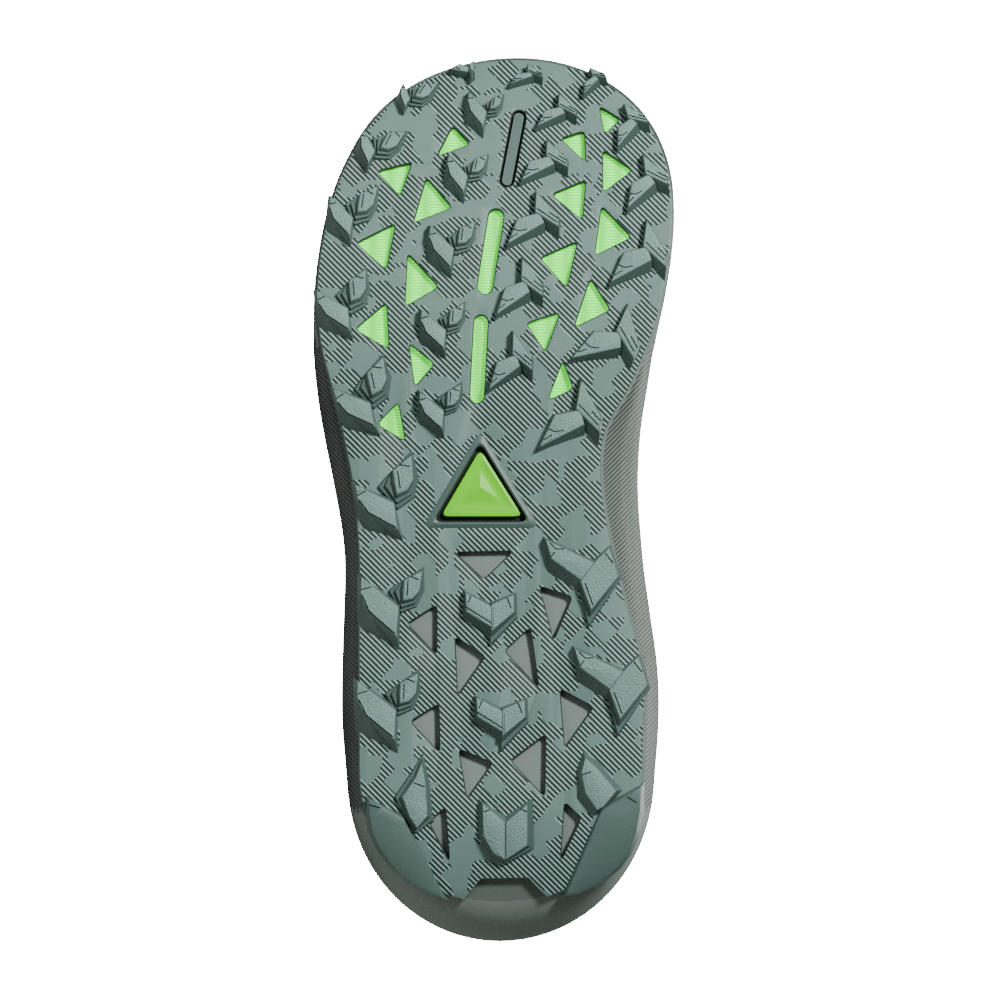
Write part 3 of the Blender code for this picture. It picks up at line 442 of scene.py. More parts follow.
# Lines of the upper's grid that follow the lower and upper edges of its overlays
GRID_LINES = 44
COUNTER_LINE = 9
EDGE_LINE = 16
FREE_LINE = 32
LOW_ROW = 0.2
LOW_SHARE = 0.55
EDGE_SLOPE = 0.008

# Upper edges of the overlays, as shares of the upper's height
COUNTER_HEEL_EDGE = 0.62
COUNTER_FALL = 0.9
GUARD_TOE_EDGE = 0.35
GUARD_FALL = 0.14
GUARD_FALL_START = 0.86
GUARD_FALL_SPAN = 0.12

# Heel: two smooth shields, the arms inside them and the two halves of the middle lug
HEEL_SHIELDS = (
    (Arm(((148, 795), (188, 816), (232, 905), (215, 900), (199, 892), (184, 881), (171, 867), (160, 852),
          (152, 834), (149, 815)),
         ((152, 799), (187, 819), (227, 899), (214, 896), (200, 888), (187, 878), (175, 865), (164, 850),
          (156, 833), (153, 815))),
     (((153, 805), (164, 808)),)),
    (Arm(((429, 782), (385, 806), (345, 901), (361, 899), (377, 892), (392, 883), (405, 872), (416, 856),
          (424, 836), (428, 812)),
         ((425, 787), (386, 810), (350, 896), (363, 894), (376, 888), (389, 880), (401, 869), (412, 854),
          (420, 834), (424, 811))),
     (((411, 797), (421, 803)),)),
)
HEEL_ARMS = (
    (Arm(((207, 752), (194, 772), (177, 797), (189, 822), (200, 836), (218, 824), (214, 782)),
         ((206, 761), (199, 778), (186, 797), (193, 817), (201, 829), (212, 816), (210, 784))), 2,
     (((198, 783), (209, 787)),)),
    (Arm(((367, 750), (359, 770), (359, 800), (377, 819), (390, 811), (408, 790), (384, 762)),
         ((369, 757), (365, 773), (369, 793), (381, 811), (388, 807), (401, 791), (381, 768))), 1,
     (((366, 775), (375, 772)),)),
    (Arm(((261, 798), (291, 818), (291, 868), (272, 860), (261, 840)),
         ((266, 803), (289.5, 822), (289.5, 861), (277, 854), (267, 836))), 1,
     (((268, 812), (278, 808)),)),
    (Arm(((288, 818), (318, 797), (319, 852), (288, 868)),
         ((289.5, 822), (312, 803), (312, 846), (289.5, 861))), 2,
     (((302, 808), (311, 812)),)),
)

# Order of the finishes on the tread, the foam and the upper
RIBBED, WALL, TIP, PAINTED_SHADE, PLAIN = range(5)
FOAM_SMOOTH, FOAM_MEDIAL, FOAM_BOTTOM, FOAM_LATERAL_SHADE, FOAM_BEVEL_SHADE = range(5)
CLOTH, OVERLAY, LINING, LINING_OVERLAY, THREAD = range(5)

# Moulded skins: dark and light shares of the colour, roughness, size and depth of the grain
Skin = namedtuple("Skin", "dark light roughness grain depth")
SKINS = {
    # Painted shade: the walls of the lugs and of the tread's edge are kept near half the rubber's colour,
    # darker than the tips
    "rubber walls painted shade": Skin(0.45, 0.55, 0.45, 0.0008, 0.00004),
    "rubber tips": Skin(0.92, 1.45, 0.5, 0.0007, 0.00048),
    # Painted shade: nearly black, in the tips' narrow grooves, on the windows' walls and on the plate under
    # the slot's edge
    "rubber painted shade": Skin(0.08, 0.12, 0.7, 0.0008, 0.00004),
    "rubber skin": Skin(0.52, 0.62, 0.45, 0.0009, 0.00005),
    "badge": Skin(0.9, 1.1, 0.4, 0.0007, 0.00003),
    # Painted shade: a near-black plate behind the plug darkens the gap round it
    "badge painted shade plate": Skin(0.01, 0.02, 0.8, 0.0007, 0.00003),
    "foam": Skin(0.9, 1.15, 0.6, 0.0007, 0.00005),
    "foam bottom": Skin(0.85, 1.15, 0.7, 0.0007, 0.00006),
    # Painted shade: the heel's bevel, turned from the light, is kept darker than the rest of the foam
    "foam heel painted shade": Skin(0.58, 0.68, 0.6, 0.0007, 0.00004),
    "overlay": Skin(0.9, 1.1, 0.5, 0.0008, 0.00005),
    "thread": Skin(0.8, 1.0, 0.7, 0.0008, 0.00003),
}

# Ribbed skins: direction across the ribs, pitch, size and share of the smooth patches, shares of
# the colour in the grooves, darker as painted shade, on the ribs, lighter as painted light, and on the
# patches, roughness, depth
Ribs = namedtuple("Ribs", "across pitch patch share dark light smooth roughness depth")
SLANT = Vector((1.0, 1.0, 0.0)).normalized()
COUNTER_SLANT = Vector((1.0, -1.0, 0.0)).normalized()
RIBS = {
    "rubber ribs": Ribs(SLANT, 0.00139, 0.0075, 0.34, 0.1, 1.9, 0.95, 0.5, 0.0005),
    "foam ribs medial": Ribs(COUNTER_SLANT, 0.0011, 0.02, 0.0, 0.25, 0.9, 1.0, 0.55, 0.0002),
    # Painted shade: the lateral ribs are kept darker than the medial ones, as that side lies turned from the
    # light
    "foam ribs lateral painted shade": Ribs(SLANT, 0.0011, 0.02, 0.0, 0.08, 0.5, 1.0, 0.55, 0.00025),
}
RUBBER_RIBS = RIBS["rubber ribs"]

# Cloths: directions and pitches of the yarns, dark and light shares of the colour (painted shade in the dips
# between the yarns, painted light on their crests), roughness, depth
Cloth = namedtuple("Cloth", "warp weft warp_pitch weft_pitch dark light roughness depth")
ALONG = (1.0, 0.0, 0.0)
ACROSS = (0.0, 1.0, 0.0)
UP = (0.0, 0.0, 1.0)
CLOTHS = {
    "green textile": Cloth(ALONG, ACROSS, 0.001, 0.006, 0.9, 2.0, 0.75, 0.0003),
    "insole cloth": Cloth(ALONG, ACROSS, 0.0014, 0.0014, 0.7, 1.3, 0.9, 0.0001),
    "knit": Cloth((-0.3, 0.0, 1.0), (1.0, 0.0, -0.35), 0.0016, 0.0016, 0.55, 1.25, 0.85, 0.00018),
    "lining": Cloth(ALONG, UP, 0.0011, 0.0011, 0.7, 1.3, 0.9, 0.0001),
    "tongue cloth": Cloth(ALONG, ACROSS, 0.0018, 0.0018, 0.5, 1.1, 0.88, 0.00015),
    "lace cloth": Cloth((1.0, 1.0, 0.0), (1.0, -1.0, 0.0), 0.0009, 0.0009, 0.6, 1.2, 0.8, 0.0001),
}
CLOTH_SHEEN = 0.2
RIB_FLANK = 0.55
PATCH_HEIGHT = 0.6


def ease(share):
    share = min(max(share, 0.0), 1.0)
    return share * share * (3.0 - 2.0 * share)


def read(table, column, along):
    """Reads one column of a table of sections along a smooth curve through its rows."""
    rows = [(row.along, getattr(row, column)) for row in table]
    along = min(max(along, rows[0][0]), rows[-1][0])
    last = len(rows) - 1
    i = 0
    while i < last - 1 and along > rows[i + 1][0]:
        i += 1
    (x0, y0), (x1, y1) = rows[i], rows[i + 1]
    before, after = rows[max(i - 1, 0)], rows[min(i + 2, last)]
    slope0 = (y1 - before[1]) / (x1 - before[0])
    slope1 = (after[1] - y0) / (after[0] - x0)
    t = (along - x0) / (x1 - x0)
    span = x1 - x0
    near = (1 + 2 * t) * (1 - t) ** 2 * y0 + t * (1 - t) ** 2 * span * slope0
    far = t * t * (3 - 2 * t) * y1 + t * t * (t - 1) * span * slope1
    return near + far


def turn_share(turn):
    """How far from heel to toe a turn round the shoe has come."""
    return (1.0 - math.cos(turn)) / 2.0


def turn_side(turn):
    """The side that a turn is on: -1 lateral, 1 medial."""
    return -1.0 if turn % FULL_TURN <= math.pi else 1.0


def forefoot_share(x):
    start, finish = ARCH_SPAN
    return ease((x / SOLE_LENGTH - start) / (finish - start))


def local_width(x):
    share = forefoot_share(x)
    return HEEL_WIDTH + (BALL_WIDTH - HEEL_WIDTH) * share


def local_stack(x):
    share = forefoot_share(x)
    return HEEL_STACK + (FOREFOOT_STACK - HEEL_STACK) * share


def bed_height(x):
    return read(HEIGHTS, "bed", x / SOLE_LENGTH) * local_stack(x)


def rim_height(x):
    return read(HEIGHTS, "rim", x / SOLE_LENGTH) * local_stack(x)


def centre_line(x):
    return TOE_SWING * max(0.0, (x / SOLE_LENGTH - SWING_START) / (1.0 - SWING_START))


def tread_height(x):
    """Height of the rubber's outer face, with the toe spring and the heel bevel."""
    along = x / SOLE_LENGTH
    toe = max(0.0, (along - TOE_START) / (1.0 - TOE_START))
    heel = max(0.0, (HEEL_FINISH - along) / HEEL_FINISH)
    return LUG_HEIGHT + TOE_SPRING * toe ** TOE_CURVE + HEEL_BEVEL * heel ** HEEL_CURVE


def tread_angle(x):
    step = 0.0005
    return math.atan((tread_height(x + step) - tread_height(x - step)) / (2.0 * step))


def bend(x, y, depth):
    """Lays a point of the flat chart on the sprung tread, depth being the way into the shoe."""
    angle = tread_angle(x)
    return Vector((x - math.sin(angle) * depth, y, tread_height(x) + math.cos(angle) * depth))


def chart(u, v):
    """Turns a place on the chart into x and y of the worn shoe."""
    x = (CHART_HEEL - v) / CHART_LENGTH * SOLE_LENGTH
    share = forefoot_share(x)
    chart_width = CHART_HEEL_WIDTH + (CHART_BALL - CHART_HEEL_WIDTH) * share
    return x, (u - CHART_MID) / chart_width * local_width(x)


def round_end(share):
    share = min(max(share, 0.0), 1.0)
    return math.sqrt(1.0 - (1.0 - share) ** 2)


def side_y(edge, x, side):
    column = edge.medial if side > 0 else edge.lateral
    width = read(SECTIONS, column, x / SOLE_LENGTH) * local_width(x)
    ends = round_end((x - edge.start) / edge.heel_reach) * round_end((edge.finish - x) / TOE_REACH)
    return centre_line(x) + side * width * ends


def raw_edge_point(edge, turn):
    share = turn_share(turn)
    side = turn_side(turn)
    x = edge.start + (edge.finish - edge.start) * share
    return Vector((x, side_y(edge, x, side), 0.0))


def edge_frame(edge, turn):
    """Point and outward direction on an edge; turn 0 is the heel, pi the toe, lateral side first."""
    here = raw_edge_point(edge, turn)
    step = 0.01
    tangent = raw_edge_point(edge, turn + step) - raw_edge_point(edge, turn - step)
    outward = Vector((tangent.y, -tangent.x, 0.0)).normalized()
    return here, outward


def foam_finish(face, ring):
    """Which material a face of the foam's side carries: ribs at the waist, smooth elsewhere."""
    centre = face.calc_center_median()
    waist = WAIST_RIBS[0] < centre.x < WAIST_RIBS[1] and ring <= RIBBED_RINGS
    if not waist:
        return FOAM_SMOOTH
    # The lateral ribs carry painted shade
    return FOAM_MEDIAL if centre.y > 0.0 else FOAM_LATERAL_SHADE


def linear(red, green, blue):
    """A colour read on a 0 to 255 scale, as scene-linear values."""
    shares = [value / 255.0 for value in (red, green, blue)]
    return tuple(s / 12.92 if s <= 0.04045 else ((s + 0.055) / 1.055) ** 2.4 for s in shares)


def axes_at(origin, ahead, down):
    """Axes at a point, from it towards another point, with a third direction across both."""
    along = ahead - origin
    along = (along - down * along.dot(down)).normalized()
    axes = Matrix((along, down.cross(along), down)).transposed().to_4x4()
    axes.translation = origin
    return axes


def worn_place():
    """Where the worn shoe lies, from the two treads that the record states as mounts."""
    mounts = {mount["name"]: mount for mount in frame["record"]["mounts"]}
    heel, forefoot = mounts["heel_tread"], mounts["forefoot_tread"]
    laid = axes_at(Vector(heel["pos_m"]), Vector(forefoot["pos_m"]), Vector(heel["axis"]).normalized())
    heel_point = Vector((*chart(*HEEL_TREAD), 0.0))
    forefoot_point = Vector((*chart(*FOREFOOT_TREAD), 0.0))
    worn = axes_at(heel_point, forefoot_point, Vector((0.0, 0.0, -1.0)))
    return laid @ worn.inverted()


WORN = worn_place()


def add_node(tree, kind, inputs=(), **options):
    """Adds a node, sets its options, and fills or links its input sockets."""
    made = tree.nodes.new(kind)
    made.location = (len(tree.nodes) * 190.0, 0.0)
    for option, value in options.items():
        setattr(made, option, value)
    for key, value in dict(inputs).items():
        if isinstance(value, bpy.types.NodeSocket):
            tree.links.new(value, made.inputs[key])
        else:
            made.inputs[key].default_value = value
    return made


def math_node(tree, operation, first, second=0.0):
    return add_node(tree, "ShaderNodeMath", {0: first, 1: second}, operation=operation).outputs[0]


def mix_colours(tree, share, first, second):
    made = add_node(tree, "ShaderNodeMix", {0: share, 6: first, 7: second}, data_type="RGBA")
    return made.outputs[2]


def new_group(name, inputs, outputs):
    """A shader node group with its own sockets; returns the group, its way in and its way out."""
    group = bpy.data.node_groups.new(name, "ShaderNodeTree")
    for label, kind, value in inputs:
        socket = group.interface.new_socket(label, in_out="INPUT", socket_type=kind)
        if value is not None:
            socket.default_value = value
    for label, kind in outputs:
        group.interface.new_socket(label, in_out="OUTPUT", socket_type=kind)
    return group, group.nodes.new("NodeGroupInput"), group.nodes.new("NodeGroupOutput")


def grouped(tree, name, inputs=()):
    """Puts a shared node group in a material and fills its sockets."""
    if name not in bpy.data.node_groups:
        GROUP_MAKERS[name]()
    return add_node(tree, "ShaderNodeGroup", inputs, node_tree=bpy.data.node_groups[name])


def wave_across(tree, place, direction, pitch):
    """A wave that rises and falls once for each pitch along a direction."""
    dot = add_node(tree, "ShaderNodeVectorMath", {0: place, 1: direction}, operation="DOT_PRODUCT")
    turns = math_node(tree, "DIVIDE", dot.outputs["Value"], pitch)
    return math_node(tree, "SINE", math_node(tree, "MULTIPLY", turns, FULL_TURN))


def fine_ribs_group():
    """Fine parallel ribs that leave smooth, slanted patches between them."""
    group, way_in, way_out = new_group(
        "fine ribs",
        (
            ("Place", "NodeSocketVector", None),
            ("Across", "NodeSocketVector", (0.7071, 0.7071, 0.0)),
            ("Pitch", "NodeSocketFloat", 0.00073),
            ("Patch Size", "NodeSocketFloat", 0.005),
            ("Patch Share", "NodeSocketFloat", 0.3),
        ),
        (("Height", "NodeSocketFloat"), ("Smooth", "NodeSocketFloat")),
    )
    place = way_in.outputs["Place"]
    wave = wave_across(group, place, way_in.outputs["Across"], way_in.outputs["Pitch"])
    rise = add_node(
        group,
        "ShaderNodeMapRange",
        {"Value": wave, "From Min": -RIB_FLANK, "From Max": RIB_FLANK},
        interpolation_type="SMOOTHSTEP",
    ).outputs["Result"]
    scale = math_node(group, "DIVIDE", 1.0, way_in.outputs["Patch Size"])
    cells = add_node(
        group,
        "ShaderNodeTexVoronoi",
        {"Vector": place, "Scale": scale},
        distance="MANHATTAN",
    )
    tint = add_node(group, "ShaderNodeSeparateColor", {0: cells.outputs["Color"]}).outputs[0]
    smooth = math_node(group, "LESS_THAN", tint, way_in.outputs["Patch Share"])
    ribbed = math_node(group, "SUBTRACT", 1.0, smooth)
    height = math_node(group, "MULTIPLY", rise, ribbed)
    raised = math_node(group, "ADD", height, math_node(group, "MULTIPLY", smooth, PATCH_HEIGHT))
    group.links.new(raised, way_out.inputs["Height"])
    group.links.new(smooth, way_out.inputs["Smooth"])


def grain_group():
    """Moulded skin: a fine grain with slow, faint changes of tone."""
    group, way_in, way_out = new_group(
        "moulded grain",
        (
            ("Place", "NodeSocketVector", None),
            ("Grain Size", "NodeSocketFloat", 0.0006),
            ("Tone Size", "NodeSocketFloat", 0.03),
        ),
        (("Height", "NodeSocketFloat"), ("Tone", "NodeSocketFloat")),
    )
    for size, detail, result in (("Grain Size", 3.0, "Height"), ("Tone Size", 2.0, "Tone")):
        noise = add_node(
            group,
            "ShaderNodeTexNoise",
            {
                "Vector": way_in.outputs["Place"],
                "Scale": math_node(group, "DIVIDE", 1.0, way_in.outputs[size]),
                "Detail": detail,
            },
        )
        group.links.new(noise.outputs["Fac"], way_out.inputs[result])


def weave_group():
    """Crossing yarns, as heights, from two directions and their pitches."""
    group, way_in, way_out = new_group(
        "woven yarns",
        (
            ("Place", "NodeSocketVector", None),
            ("Warp", "NodeSocketVector", (1.0, 0.0, 0.0)),
            ("Weft", "NodeSocketVector", (0.0, 1.0, 0.0)),
            ("Warp Pitch", "NodeSocketFloat", 0.0012),
            ("Weft Pitch", "NodeSocketFloat", 0.0012),
        ),
        (("Height", "NodeSocketFloat"),),
    )
    waves = []
    for name in ("Warp", "Weft"):
        pitch = way_in.outputs[name + " Pitch"]
        wave = wave_across(group, way_in.outputs["Place"], way_in.outputs[name], pitch)
        waves.append(math_node(group, "MULTIPLY_ADD", wave, 0.5))
        waves[-1].node.inputs[2].default_value = 0.5
    group.links.new(math_node(group, "MULTIPLY", waves[0], waves[1]), way_out.inputs["Height"])


GROUP_MAKERS = {"fine ribs": fine_ribs_group, "moulded grain": grain_group, "woven yarns": weave_group}


def new_material(name, roughness):
    """A material with the place on the worn shoe, ready for its colour and bump."""
    material = bpy.data.materials.new(name)
    material.use_nodes = True
    tree = material.node_tree
    shader = tree.nodes["Principled BSDF"]
    shader.inputs["Roughness"].default_value = roughness
    laid = add_node(tree, "ShaderNodeTexCoord").outputs["Object"]
    back = WORN.inverted()
    turned = {"Vector": laid, "Location": back.translation, "Rotation": back.to_euler()}
    place = add_node(tree, "ShaderNodeMapping", turned).outputs["Vector"]
    return material, tree, shader, place


def add_bump(tree, shader, height, depth):
    bump = add_node(tree, "ShaderNodeBump", {"Height": height, "Strength": 1.0, "Distance": depth})
    tree.links.new(bump.outputs["Normal"], shader.inputs["Normal"])


def shade(colour, share):
    """A darker or lighter tone of a colour, as a socket takes it."""
    return (*(Vector(colour) * share), 1.0)


def moulded_material(name, colour):
    finish = SKINS[name]
    material, tree, shader, place = new_material(name, finish.roughness)
    grain = grouped(tree, "moulded grain", {"Place": place, "Grain Size": finish.grain})
    tint = mix_colours(tree, grain.outputs["Tone"], shade(colour, finish.dark), shade(colour, finish.light))
    tree.links.new(tint, shader.inputs["Base Color"])
    add_bump(tree, shader, grain.outputs["Height"], finish.depth)
    return material


def ribbed_material(name, colour, finish):
    material, tree, shader, place = new_material(name, finish.roughness)
    ribs = grouped(
        tree,
        "fine ribs",
        {
            "Place": place,
            "Across": finish.across,
            "Pitch": finish.pitch,
            "Patch Size": finish.patch,
            "Patch Share": finish.share,
        },
    )
    # The tone follows the ribs' height: painted shade in the grooves, painted light on the crests
    tint = mix_colours(tree, ribs.outputs["Height"], shade(colour, finish.dark), shade(colour, finish.light))
    tint = mix_colours(tree, ribs.outputs["Smooth"], tint, shade(colour, finish.smooth))
    tree.links.new(tint, shader.inputs["Base Color"])
    add_bump(tree, shader, ribs.outputs["Height"], finish.depth)
    return material


def woven_material(name, colour):
    finish = CLOTHS[name]
    material, tree, shader, place = new_material(name, finish.roughness)
    yarns = grouped(
        tree,
        "woven yarns",
        {
            "Place": place,
            "Warp": finish.warp,
            "Weft": finish.weft,
            "Warp Pitch": finish.warp_pitch,
            "Weft Pitch": finish.weft_pitch,
        },
    )
    # The tone follows the yarns' height: painted shade in the dips, painted light on the crests
    tint = mix_colours(tree, yarns.outputs["Height"], shade(colour, finish.dark), shade(colour, finish.light))
    tree.links.new(tint, shader.inputs["Base Color"])
    shader.inputs["Sheen Weight"].default_value = CLOTH_SHEEN
    add_bump(tree, shader, yarns.outputs["Height"], finish.depth)
    return material


def add_piece(name, mesh, materials, nodes):
    """Lays a mesh of the worn shoe where the frame has it, in place of the nodes named."""
    mesh.name = name
    mesh.transform(WORN)
    piece = new_object(name, mesh)
    for material in materials[len(mesh.materials):]:
        mesh.materials.append(material)
    mesh.shade_smooth()
    mesh.set_sharp_from_angle(angle=SHARP_ANGLE)
    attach(piece, "root")
    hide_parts(*nodes)
    return piece


def evaluated(piece, *tools):
    """The mesh of an object with its modifiers; the object and its tools are then removed."""
    bpy.context.view_layer.update()
    result = bpy.data.meshes.new_from_object(piece.evaluated_get(bpy.context.evaluated_depsgraph_get()))
    for old in (piece, *tools):
        bpy.data.objects.remove(old, do_unlink=True)
    return result


def new_object(name, data):
    made = bpy.data.objects.new(name, data)
    bpy.context.scene.collection.objects.link(made)
    return made


def set_back(ring, height):
    """Moves an outline along the sprung tread, so that the lug's tip meets the chart from below."""
    return [Vector((p.x - math.sin(tread_angle(p.x)) * height, p.y)) for p in ring]


def groove(model, line, height):
    """One narrow cutter along a line on the tip face, its faces taking the near-black finish as painted shade
    in the groove.
    """
    sides = ([], [])
    for i, here in enumerate(line):
        before, after = line[max(i - 1, 0)], line[min(i + 1, len(line) - 1)]
        heading = (after - before).normalized()
        across = Vector((-heading.y, heading.x)) * ENGRAVING / 2.0
        sides[0].append(here + across)
        sides[1].append(here - across)
    outline = sides[0] + sides[1][::-1]
    low = [model.verts.new((p.x, p.y, ENGRAVING_DEPTH - height)) for p in outline]
    high = [model.verts.new((p.x, p.y, -2.0 * height)) for p in outline]
    skin(model, low, high, PAINTED_SHADE)
    count = len(line)
    for ring in (low, high):
        for i in range(count - 1):
            corners = (ring[i], ring[i + 1], ring[2 * count - 2 - i], ring[2 * count - 1 - i])
            model.faces.new(corners).material_index = PAINTED_SHADE


def carved(mesh, lines, height):
    """Cuts the grooves out of a lug arm."""
    model = bmesh.new()
    for line in lines:
        groove(model, line, height)
    bmesh.ops.recalc_face_normals(model, faces=model.faces)
    arm = new_object("arm", mesh)
    tool = new_object("grooves", mesh_from(model, "grooves"))
    cut = arm.modifiers.new("grooves", "BOOLEAN")
    cut.object = tool
    cut.solver = "EXACT"
    return evaluated(arm, tool)


def badge_rim(model):
    """A low rounded rim on the rubber round the plug's window."""
    corners = [Vector(chart(u, v)) for u, v in BADGE_WINDOW]
    centre = sum(corners, Vector((0.0, 0.0))) / 3.0
    layers = []
    for share, lift in RIM_PROFILE:
        grown = [centre + (corner - centre) * (1.0 + share) for corner in corners]
        ring = round_corners(grown, BADGE_CORNER * (1.0 + share))
        layers.append([model.verts.new((p.x, p.y, -lift)) for p in ring])
    for low, high in zip(layers, layers[1:] + layers[:1]):
        skin(model, low, high, PLAIN)


def plate(model, outline, near, index):
    """A thin closed plate with a flat outline."""
    low, high = [[model.verts.new((x, y, depth)) for x, y in outline] for depth in (near, near + PLATE)]
    for layer in (low, high):
        model.faces.new(layer).material_index = index
    skin(model, low, high, index)


def slot_floor(model, slot):
    """The raised bottom of the slot nearest the toe, with a near-black plate of painted shade round it."""
    shade_plate = fine_slot(slot._replace(half=slot.half + SLOT_OVERRUN))
    plate(model, shade_plate, SLOT_SHADE_DEPTH, PAINTED_SHADE)
    bottom = fine_slot(slot._replace(half=slot.half - SLOT_MARGIN))
    plate(model, bottom, SLOT_FLOOR, PLAIN)


def mesh_from(model, name):
    mesh = bpy.data.meshes.new(name)
    model.to_mesh(mesh)
    model.free()
    return mesh


def fine_turns():
    return [FULL_TURN * i / FINE_LOOP for i in range(FINE_LOOP)]


def skin(model, low, high, index=0):
    count = len(low)
    for i in range(count):
        j = (i + 1) % count
        face = model.faces.new((low[i], low[j], high[j], high[i]))
        face.material_index = index


def cut_at_stations(model):
    """Cuts a flat model across, so that it can bend with the tread."""
    span = TREAD_EDGE.finish - TREAD_EDGE.start
    for i in range(1, FINE_STATIONS // 2):
        x = TREAD_EDGE.start + span * i * 2.0 / FINE_STATIONS
        if tread_height(x) > LUG_HEIGHT:
            everything = list(model.verts) + list(model.edges) + list(model.faces)
            bmesh.ops.bisect_plane(
                model, geom=everything, dist=MERGE, plane_co=(x, 0.0, 0.0), plane_no=(1.0, 0.0, 0.0)
            )


def bend_model(model):
    for vertex in model.verts:
        vertex.co = bend(vertex.co.x, vertex.co.y, vertex.co.z)
    bmesh.ops.recalc_face_normals(model, faces=model.faces)


def filled_sheet(rings, near, far, edge):
    """A flat sheet with holes and rounded edges, as a model in the chart's plane."""
    curve = bpy.data.curves.new("outline", "CURVE")
    curve.dimensions = "2D"
    curve.fill_mode = "BOTH"
    curve.extrude = (far - near) / 2.0 - edge
    curve.bevel_depth = edge
    curve.bevel_resolution = 1
    curve.offset = -edge
    for ring in rings:
        spline = curve.splines.new("POLY")
        spline.points.add(len(ring) - 1)
        for point, place in zip(spline.points, ring):
            point.co = (place[0], place[1], 0.0, 1.0)
        spline.use_cyclic_u = True
    mesh = evaluated(new_object("outline", curve))
    model = bmesh.new()
    model.from_mesh(mesh)
    bmesh.ops.remove_doubles(model, verts=model.verts, dist=MERGE)
    for vertex in model.verts:
        vertex.co.z += (near + far) / 2.0
    for face in model.faces:
        face.material_index = 0
    return model


def round_corners(ring, radius):
    """Rounds the corners of a small flat outline."""
    result = []
    points = [Vector(point) for point in ring]
    for before, here, after in zip(points[-1:] + points[:-1], points, points[1:] + points[:1]):
        start = here + (before - here).normalized() * radius
        finish = here + (after - here).normalized() * radius
        for i in range(CORNER_POINTS):
            t = i / (CORNER_POINTS - 1)
            result.append(start.lerp(here, t).lerp(here.lerp(finish, t), t))
    return result


def fine_tread_outline():
    """The rubber's outline with the notch at the back of the heel."""
    notch = [chart(u, v) for u, v in HEEL_NOTCH]
    points = []
    for turn in fine_turns():
        point = raw_edge_point(TREAD_EDGE, turn)
        behind_notch = notch[0][1] < point.y < notch[-1][1] and point.x < SOLE_LENGTH / 2
        if not behind_notch:
            points.append((point.x, point.y))
    return points + notch[::-1]


def fine_slot(slot):
    toe = Vector((slot.u_toe, slot.v_toe))
    heel = Vector((slot.u_heel, slot.v_heel))
    direction = (heel - toe).normalized()
    aside = Vector((-direction.y, direction.x))
    ring = []
    for centre, start in ((heel, 0.0), (toe, math.pi)):
        for i in range(FINE_ARC + 1):
            angle = start + math.pi * i / FINE_ARC
            place = centre + (aside * math.cos(angle) + direction * math.sin(angle)) * slot.half
            ring.append(chart(place.x, place.y))
    return ring


def window_rings():
    corners = [*FOREFOOT_WINDOWS, *HEEL_WINDOWS]
    eased = [shrink([Vector(chart(u, v)) for u, v in window], -WINDOW_EASE) for window in corners]
    rings = [round_corners(ring, WINDOW_CORNER) for ring in eased]
    rings.append(round_corners([chart(u, v) for u, v in BADGE_WINDOW], BADGE_CORNER))
    rings.extend(fine_slot(slot) for slot in SLOTS)
    return rings


def build_floor():
    mesh = bpy.data.meshes.new("floor")
    corners = [(-FLOOR, -FLOOR, 0), (FLOOR, -FLOOR, 0), (FLOOR, FLOOR, 0), (-FLOOR, FLOOR, 0)]
    mesh.from_pydata(corners, [], [(0, 1, 2, 3)])
    floor = new_object("floor", mesh)
    material = bpy.data.materials.new("floor")
    material.use_nodes = True
    tree = material.node_tree
    shader = tree.nodes["Principled BSDF"]
    shader.inputs["Base Color"].default_value = FLOOR_GREY
    shader.inputs["Roughness"].default_value = FLOOR_ROUGHNESS
    shader.inputs["Emission Color"].default_value = WHITE
    seen = add_node(tree, "ShaderNodeLightPath").outputs["Is Camera Ray"]
    glow = math_node(tree, "ADD", math_node(tree, "MULTIPLY", seen, FLOOR_GLOW), FLOOR_BOUNCE)
    tree.links.new(glow, shader.inputs["Emission Strength"])
    mesh.materials.append(material)


def soft_light(name, place, target, size, power):
    lamp = bpy.data.lights.new(name, "AREA")
    lamp.shape = "DISK"
    lamp.size = size
    lamp.energy = power
    made = new_object(name, lamp)
    made.location = place
    made.rotation_euler = (place - target).to_track_quat("Z", "Y").to_euler()


def placed(points, u, v, across, along, turn):
    """Scales and turns points drawn from a lug's notch, and moves them to their place."""
    angle = math.radians(turn)
    result = []
    for du, dv in points:
        du, dv = du * across, dv * along
        turned_u = du * math.cos(angle) - dv * math.sin(angle)
        turned_v = du * math.sin(angle) + dv * math.cos(angle)
        result.append(Vector(chart(u + turned_u, v + turned_v)))
    return result


def shrink(ring, distance):
    """Moves every side of a flat outline inwards."""
    turned = ring[1:] + ring[:1]
    area = sum(here.x * after.y - after.x * here.y for here, after in zip(ring, turned))
    side = 1.0 if area > 0 else -1.0
    moved = []
    for before, here, after in zip(ring[-1:] + ring[:-1], ring, turned):
        first = (here - before).normalized()
        second = (after - here).normalized()
        inward = (Vector((-first.y - second.y, first.x + second.x)) * side).normalized()
        slant = max(SHARPEST_CORNER, inward.dot(Vector((-first.y, first.x)) * side))
        moved.append(here + inward * (distance / slant))
    return moved


def lug_rings(root, tip, height, steps):
    """Outlines from the root to the rounded edge of the tip, with steps where the wall is wide."""
    rings = [(root, LUG_ROOT)]
    rise = height - LUG_EDGE
    for i in range(1, steps):
        share = i / steps
        near = [a.lerp(b, share - STEP_RUN / steps) for a, b in zip(root, tip)]
        far = [a.lerp(b, share + STEP_RUN / steps) for a, b in zip(root, tip)]
        rings.append((near, -rise * share))
        rings.append((far, -rise * share))
    shoulder = [a.lerp(b, LUG_SHOULDER) for a, b in zip(root, tip)]
    rings.append((shoulder, -rise))
    rings.append((shrink(tip, EDGE_ROUND * LUG_EDGE), -(height - EDGE_ROUND * LUG_EDGE)))
    rings.append((shrink(tip, LUG_EDGE), -height))
    return rings


